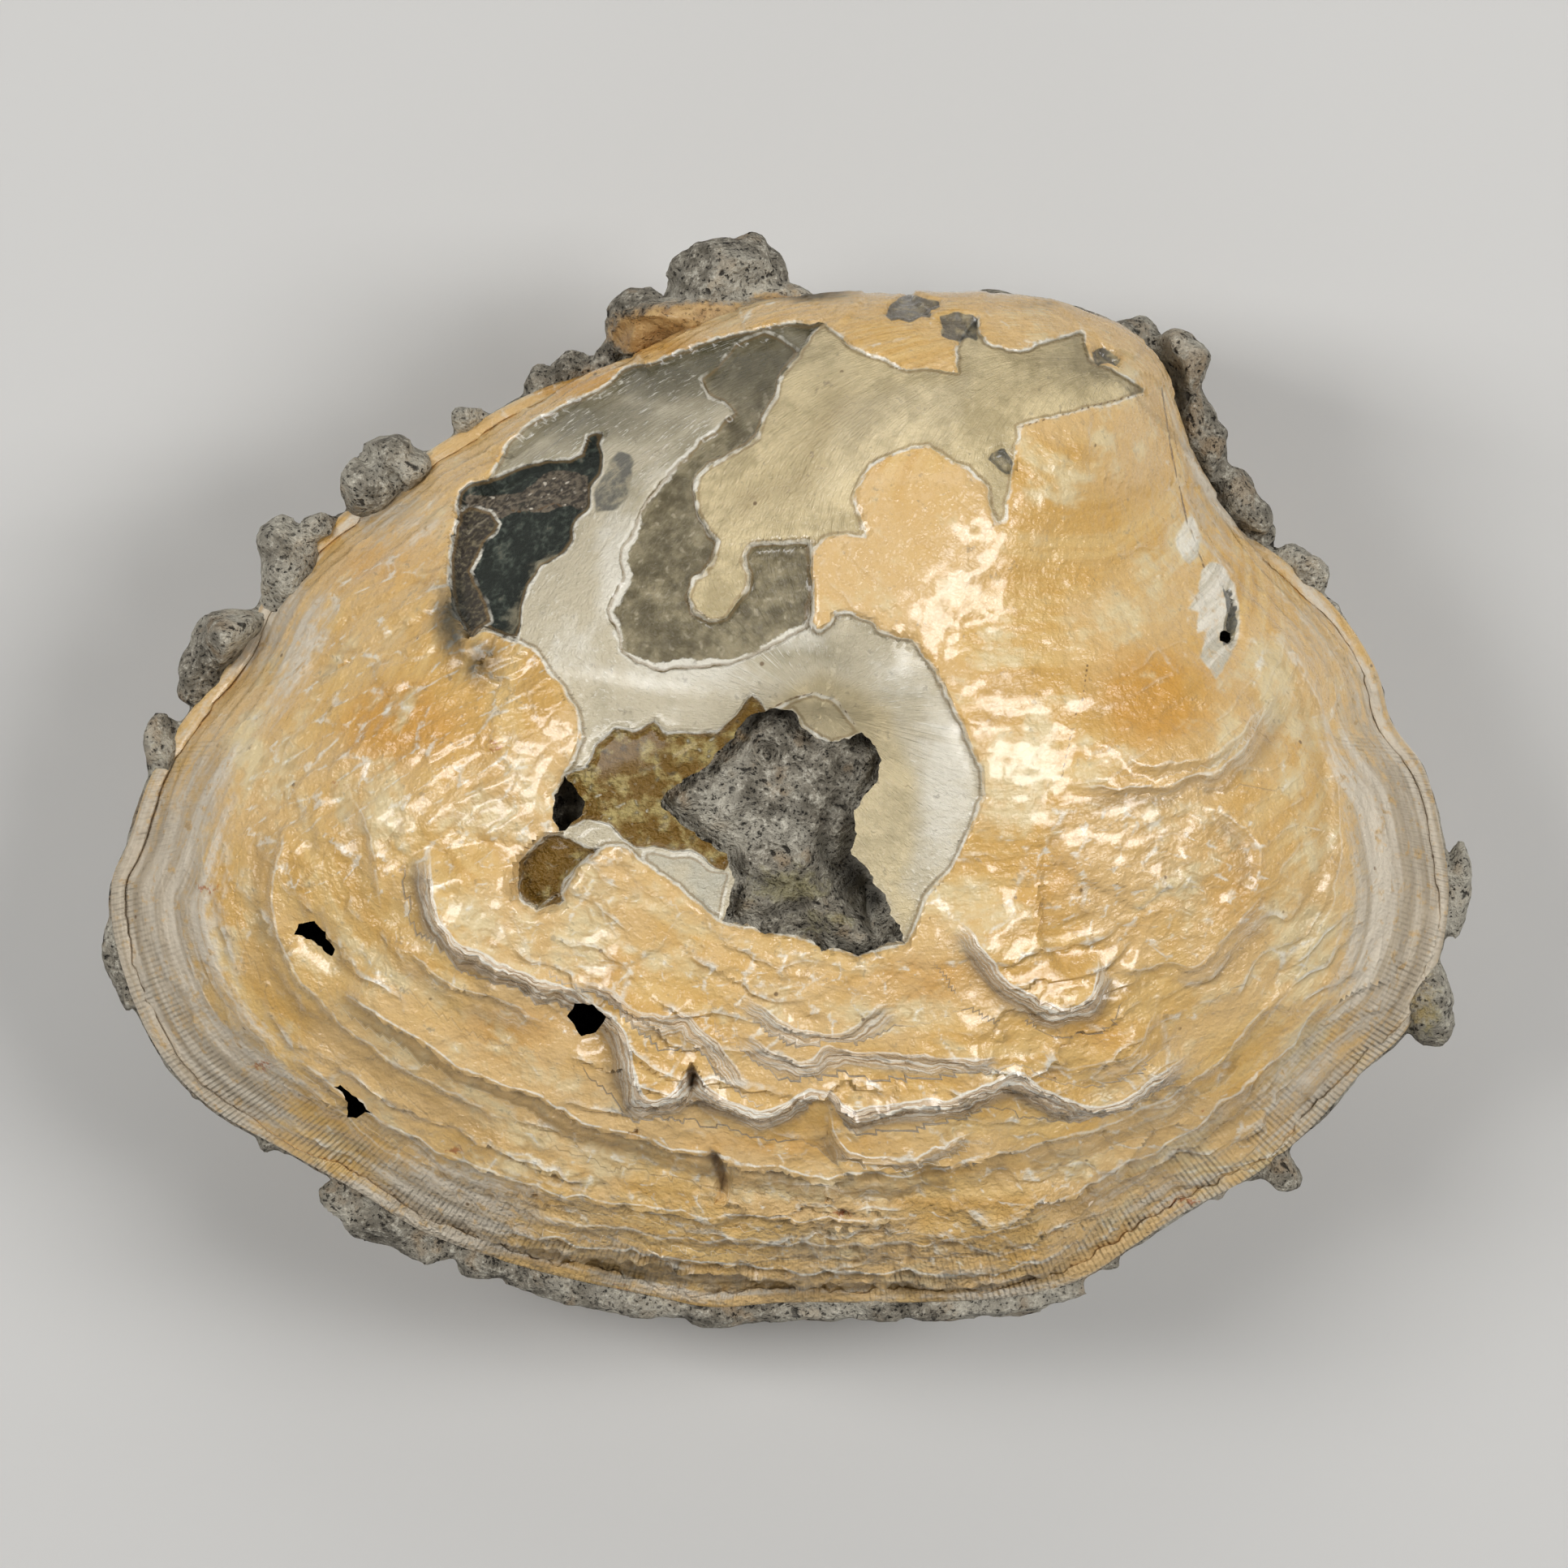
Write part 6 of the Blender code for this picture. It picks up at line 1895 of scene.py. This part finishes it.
@dataclass
class SandRim:
    """The sand that comes out along the seam and clings to the rim and the hinge in lumps."""

    form: ClamForm
    voxel: float = 0.00036
    quick_voxel: float = 0.0007
    crumbs: int = 150
    seam_sides: int = 240
    seam_level: float = 0.0009
    seam_width: float = 0.006
    flats: int = 8

    def ball(self) -> tuple[Array, Array]:
        """Points and faces of one small ball, from which every lump is copied."""
        bpy.ops.object.select_all(action="DESELECT")
        bpy.ops.mesh.primitive_ico_sphere_add(subdivisions=4, radius=1.0)
        piece = bpy.context.object
        points = Bench.points(piece)
        faces = np.array([tuple(face.vertices) for face in piece.data.polygons])
        bpy.data.objects.remove(piece)
        return points, faces

    def angular(self, unit: Array, number: int) -> Array:
        """A ball with flats knocked off it, as a broken stone has.

        Args:
            unit: the ball's points.
            number: which of the many such stones.

        Returns:
            The stone's points, about as large as the ball.
        """
        random = np.random.default_rng(500 + number)
        points = unit * 1.12
        for _ in range(self.flats):
            way = random.normal(size=3)
            way /= np.linalg.norm(way)
            beyond = np.maximum(points @ way - random.uniform(0.66, 0.92), 0.0)
            points = points - beyond[:, None] * way
        return points

    def tucked_reach(self, bearing: float) -> tuple[float, float]:
        """Distance from the crown to the seam's rim at a bearing, and how much of the umbo is there."""
        at = np.array([bearing])
        umbo = float(self.form.umbo_share(at)[0])
        return float(self.form.reach_from(self.form.crown_px, at)[0]) - self.form.umbo_tuck * umbo, umbo

    def at_rim(self, bearing: float, reach: float, height: float) -> Array:
        """The place at a bearing, distance and height about the crown."""
        x, y = self.form.in_plan(self.form.crown_px)
        return np.array([x + reach * math.cos(bearing), y + reach * math.sin(bearing), height])

    def places(self) -> list[tuple[Array, Array]]:
        """Middle and half sizes of every lump and crumb."""
        form = self.form
        found = []
        for bearing in np.linspace(form.umbo_turn - 0.98, form.umbo_turn + 0.98, 25):
            reach, umbo = self.tucked_reach(bearing)
            found.append((self.at_rim(bearing, reach, 0.0), np.full(3, 0.0042 * umbo + 0.0012)))
        for lump in LUMPS:
            height = lump.height * MILLIMETRE
            x, y = form.in_plan((lump.x, lump.y)) * (1.0 - height / form.view_distance)
            size = 0.92 * np.array((lump.across, lump.along, lump.up)) * MILLIMETRE
            found.append((np.array([x, y, height]), size))
        random = np.random.default_rng(7)
        for _ in range(self.crumbs):
            bearing = random.uniform(0.0, 2 * math.pi)
            reach = self.tucked_reach(bearing)[0]
            low_side = max(0.0, -math.sin(bearing))
            size = random.uniform(0.0005, 0.0010) * (0.6 + 0.6 * low_side)
            reach += random.uniform(-0.0020, -0.0006) + 0.0008 * low_side * random.uniform(0.0, 1.0)
            centre = self.at_rim(bearing, reach, random.uniform(-0.0005, 0.0003))
            found.append((centre, size * random.uniform(0.7, 1.4, 3)))
        return found

    def seam(self) -> tuple[Array, list]:
        """Points and faces of the sheet of sand between the valves' margins, a flat ring."""
        form = self.form
        count, level = self.seam_sides, self.seam_level
        bearing = np.linspace(0.0, 2 * math.pi, count, endpoint=False)
        outer = form.reach_from(form.crown_px, bearing) - form.umbo_tuck * form.umbo_share(bearing) - 0.0004
        inner = outer - self.seam_width
        corners = ((outer, -level), (outer, level), (inner, level), (inner, -level))
        points = [form.around_crown(bearing, reach, np.full(count, height)) for reach, height in corners]
        faces = []
        for ring in range(4):
            a, b = ring * count, ((ring + 1) % 4) * count
            faces += [(a + i, a + (i + 1) % count, b + (i + 1) % count, b + i) for i in range(count)]
        return np.concatenate(points), faces

    def build(self) -> bpy.types.Object:
        """Model the rim, roughen it and dress it."""
        form = self.form
        unit, unit_faces = self.ball()
        points, faces = self.seam()
        parts, count = [points], len(points)
        for number, (centre, size) in enumerate(self.places()):
            parts.append(centre + self.angular(unit, number) * size)
            faces += [tuple(face) for face in unit_faces + count]
            count += len(unit)
        piece = Bench.mesh_piece("sandstone_rim", np.concatenate(parts), faces)
        modifier = piece.modifiers.new("grow together", "REMESH")
        modifier.mode = "VOXEL"
        modifier.voxel_size = self.voxel
        Bench.apply(piece)
        points, normals = Bench.points(piece), Bench.normals(piece)
        proud = np.clip(form.from_margin(form.in_photo(points)), -2.0, 0.0) / -2.0
        lift = 0.35 * lumpiness(points, 0.0030, 15) + 0.22 * (0.5 - np.abs(lumpiness(points, 0.0017, 16)))
        lift += 0.18 * (0.4 - np.abs(lumpiness(points, 0.0008, 17))) - 0.12
        lift *= 0.45 + 0.55 * proud
        Bench.move(piece, points + normals * lift[:, None] * MILLIMETRE)
        pixels = form.in_photo(Bench.points(piece))
        Bench.note(piece, "crust", patches(pixels, SPOTS["rim_crust"]))
        Bench.note(piece, "moss", patches(pixels, SPOTS["rim_moss"]))
        Bench.note(piece, "deep", np.zeros(len(points)))
        piece.data.materials.append(Sandstone().material())
        Bench.soften(piece, SOFT_SAND_EDGE)
        return settle_in_place(piece, form)


@dataclass(frozen=True)
class SoftLight:
    """A rectangular light: where it hangs, its width and length in metres, and its power."""

    place: tuple[float, float, float]
    width: float
    length: float
    power: float


class Lamp(Enum):
    """The studio's soft lights."""

    RIGHT_STRIP = SoftLight((0.44, 0.06, 0.66), 0.18, 0.46, 3.2)
    LEFT_STRIP = SoftLight((-0.44, 0.10, 0.66), 0.18, 0.46, 2.8)
    FRONT_FILL = SoftLight((0.0, -0.75, 0.75), 0.7, 0.5, 0.5)
    BACK_FILL = SoftLight((0.0, 0.80, 0.70), 0.7, 0.5, 1.7)


@dataclass
class Studio:
    """Plain pale floor, soft lights and the camera straight above the fossil."""

    form: ClamForm
    floor_size: float = 4.0
    floor_tint: tuple = (0.611, 0.601, 0.581)
    lens: float = 200.0
    sensor: float = 36.0
    framing_px: float = 1932.0
    centre_px: tuple[float, float] = (966.0, 966.0)
    world_tint: tuple = (0.96, 0.98, 1.0, 1.0)
    world_strength: float = 0.15

    def floor(self) -> None:
        """A plain floor under the fossil."""
        bpy.ops.object.select_all(action="DESELECT")
        bpy.ops.mesh.primitive_plane_add(size=self.floor_size)
        piece = bpy.context.object
        piece.name = "floor"
        g = Graph("floor_finish")
        g.dress(base_color=self.floor_tint, roughness=0.8)
        piece.data.materials.append(g.material)

    def lamps(self) -> None:
        """Hang the soft lights, turned towards the fossil, in a faint even light."""
        target = Vector((0.0, 0.0, self.form.shift[2]))
        for lamp in Lamp:
            soft = lamp.value
            light = bpy.data.lights.new(lamp.name.lower(), "AREA")
            light.shape = "RECTANGLE"
            light.size, light.size_y, light.energy = soft.width, soft.length, soft.power
            made = bpy.data.objects.new(lamp.name.lower(), light)
            made.location = soft.place
            made.rotation_euler = (target - Vector(soft.place)).to_track_quat("-Z", "Y").to_euler()
            bpy.context.scene.collection.objects.link(made)
        world = bpy.data.worlds.new("studio")
        world.use_nodes = True
        background = world.node_tree.nodes["Background"]
        background.inputs["Color"].default_value = self.world_tint
        background.inputs["Strength"].default_value = self.world_strength
        bpy.context.scene.world = world

    def camera(self) -> None:
        """Set the camera where the photograph was taken from."""
        distance = self.lens * self.framing_px * self.form.pixel / self.sensor
        middle = self.form.in_plan(self.centre_px)
        lens = bpy.data.cameras.new("camera")
        lens.lens, lens.sensor_width, lens.clip_end = self.lens, self.sensor, 20.0
        made = bpy.data.objects.new("camera", lens)
        x, y, z = self.form.shift
        made.location = (middle[0] + x, middle[1] + y, z + distance)
        bpy.context.scene.collection.objects.link(made)
        bpy.context.scene.camera = made

    def build(self) -> None:
        """Set up the studio."""
        bpy.context.scene.view_settings.view_transform = "Standard"
        self.floor()
        self.lamps()
        self.camera()


class Stands(Enum):
    """Which solid each piece stands for, and the name of a finish slot, which is not used."""

    UPPER = ("upper_valve", "honey_shell")
    LOWER = ("lower_valve", "worn_shell")
    FILLING = ("sandstone_matrix", "sandstone")
    RIM = ("sandstone_matrix", "sandstone")


def hand_over(piece: bpy.types.Object, stands: tuple[str, str]) -> None:
    """Let a finished piece ride with the fossil and stand for its solid."""
    node, slot = stands
    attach(piece, "root")
    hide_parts(node)
    triangles = sum(len(face.vertices) - 2 for face in piece.data.polygons)
    low, high = Bench.points(piece).min(axis=0), Bench.points(piece).max(axis=0)
    log.info("%s: %d triangles, %s to %s", piece.name, triangles, low.round(4), high.round(4))


def main() -> None:
    """Build the fossil's pieces in order, then the studio around them."""
    logging.basicConfig(level=logging.INFO, format="%(asctime)s %(message)s")
    form = ClamForm()
    builders: list[tuple[Callable[[], bpy.types.Object], Stands]] = [
        (UpperValve(form).build, Stands.UPPER),
        (LowerValve(form).build, Stands.LOWER),
        (SandFilling(form).build, Stands.FILLING),
        (SandRim(form).build, Stands.RIM),
    ]
    for build, stands in builders:
        hand_over(build(), stands.value)
    Studio(form).build()


if __name__ == "__main__":
    main()
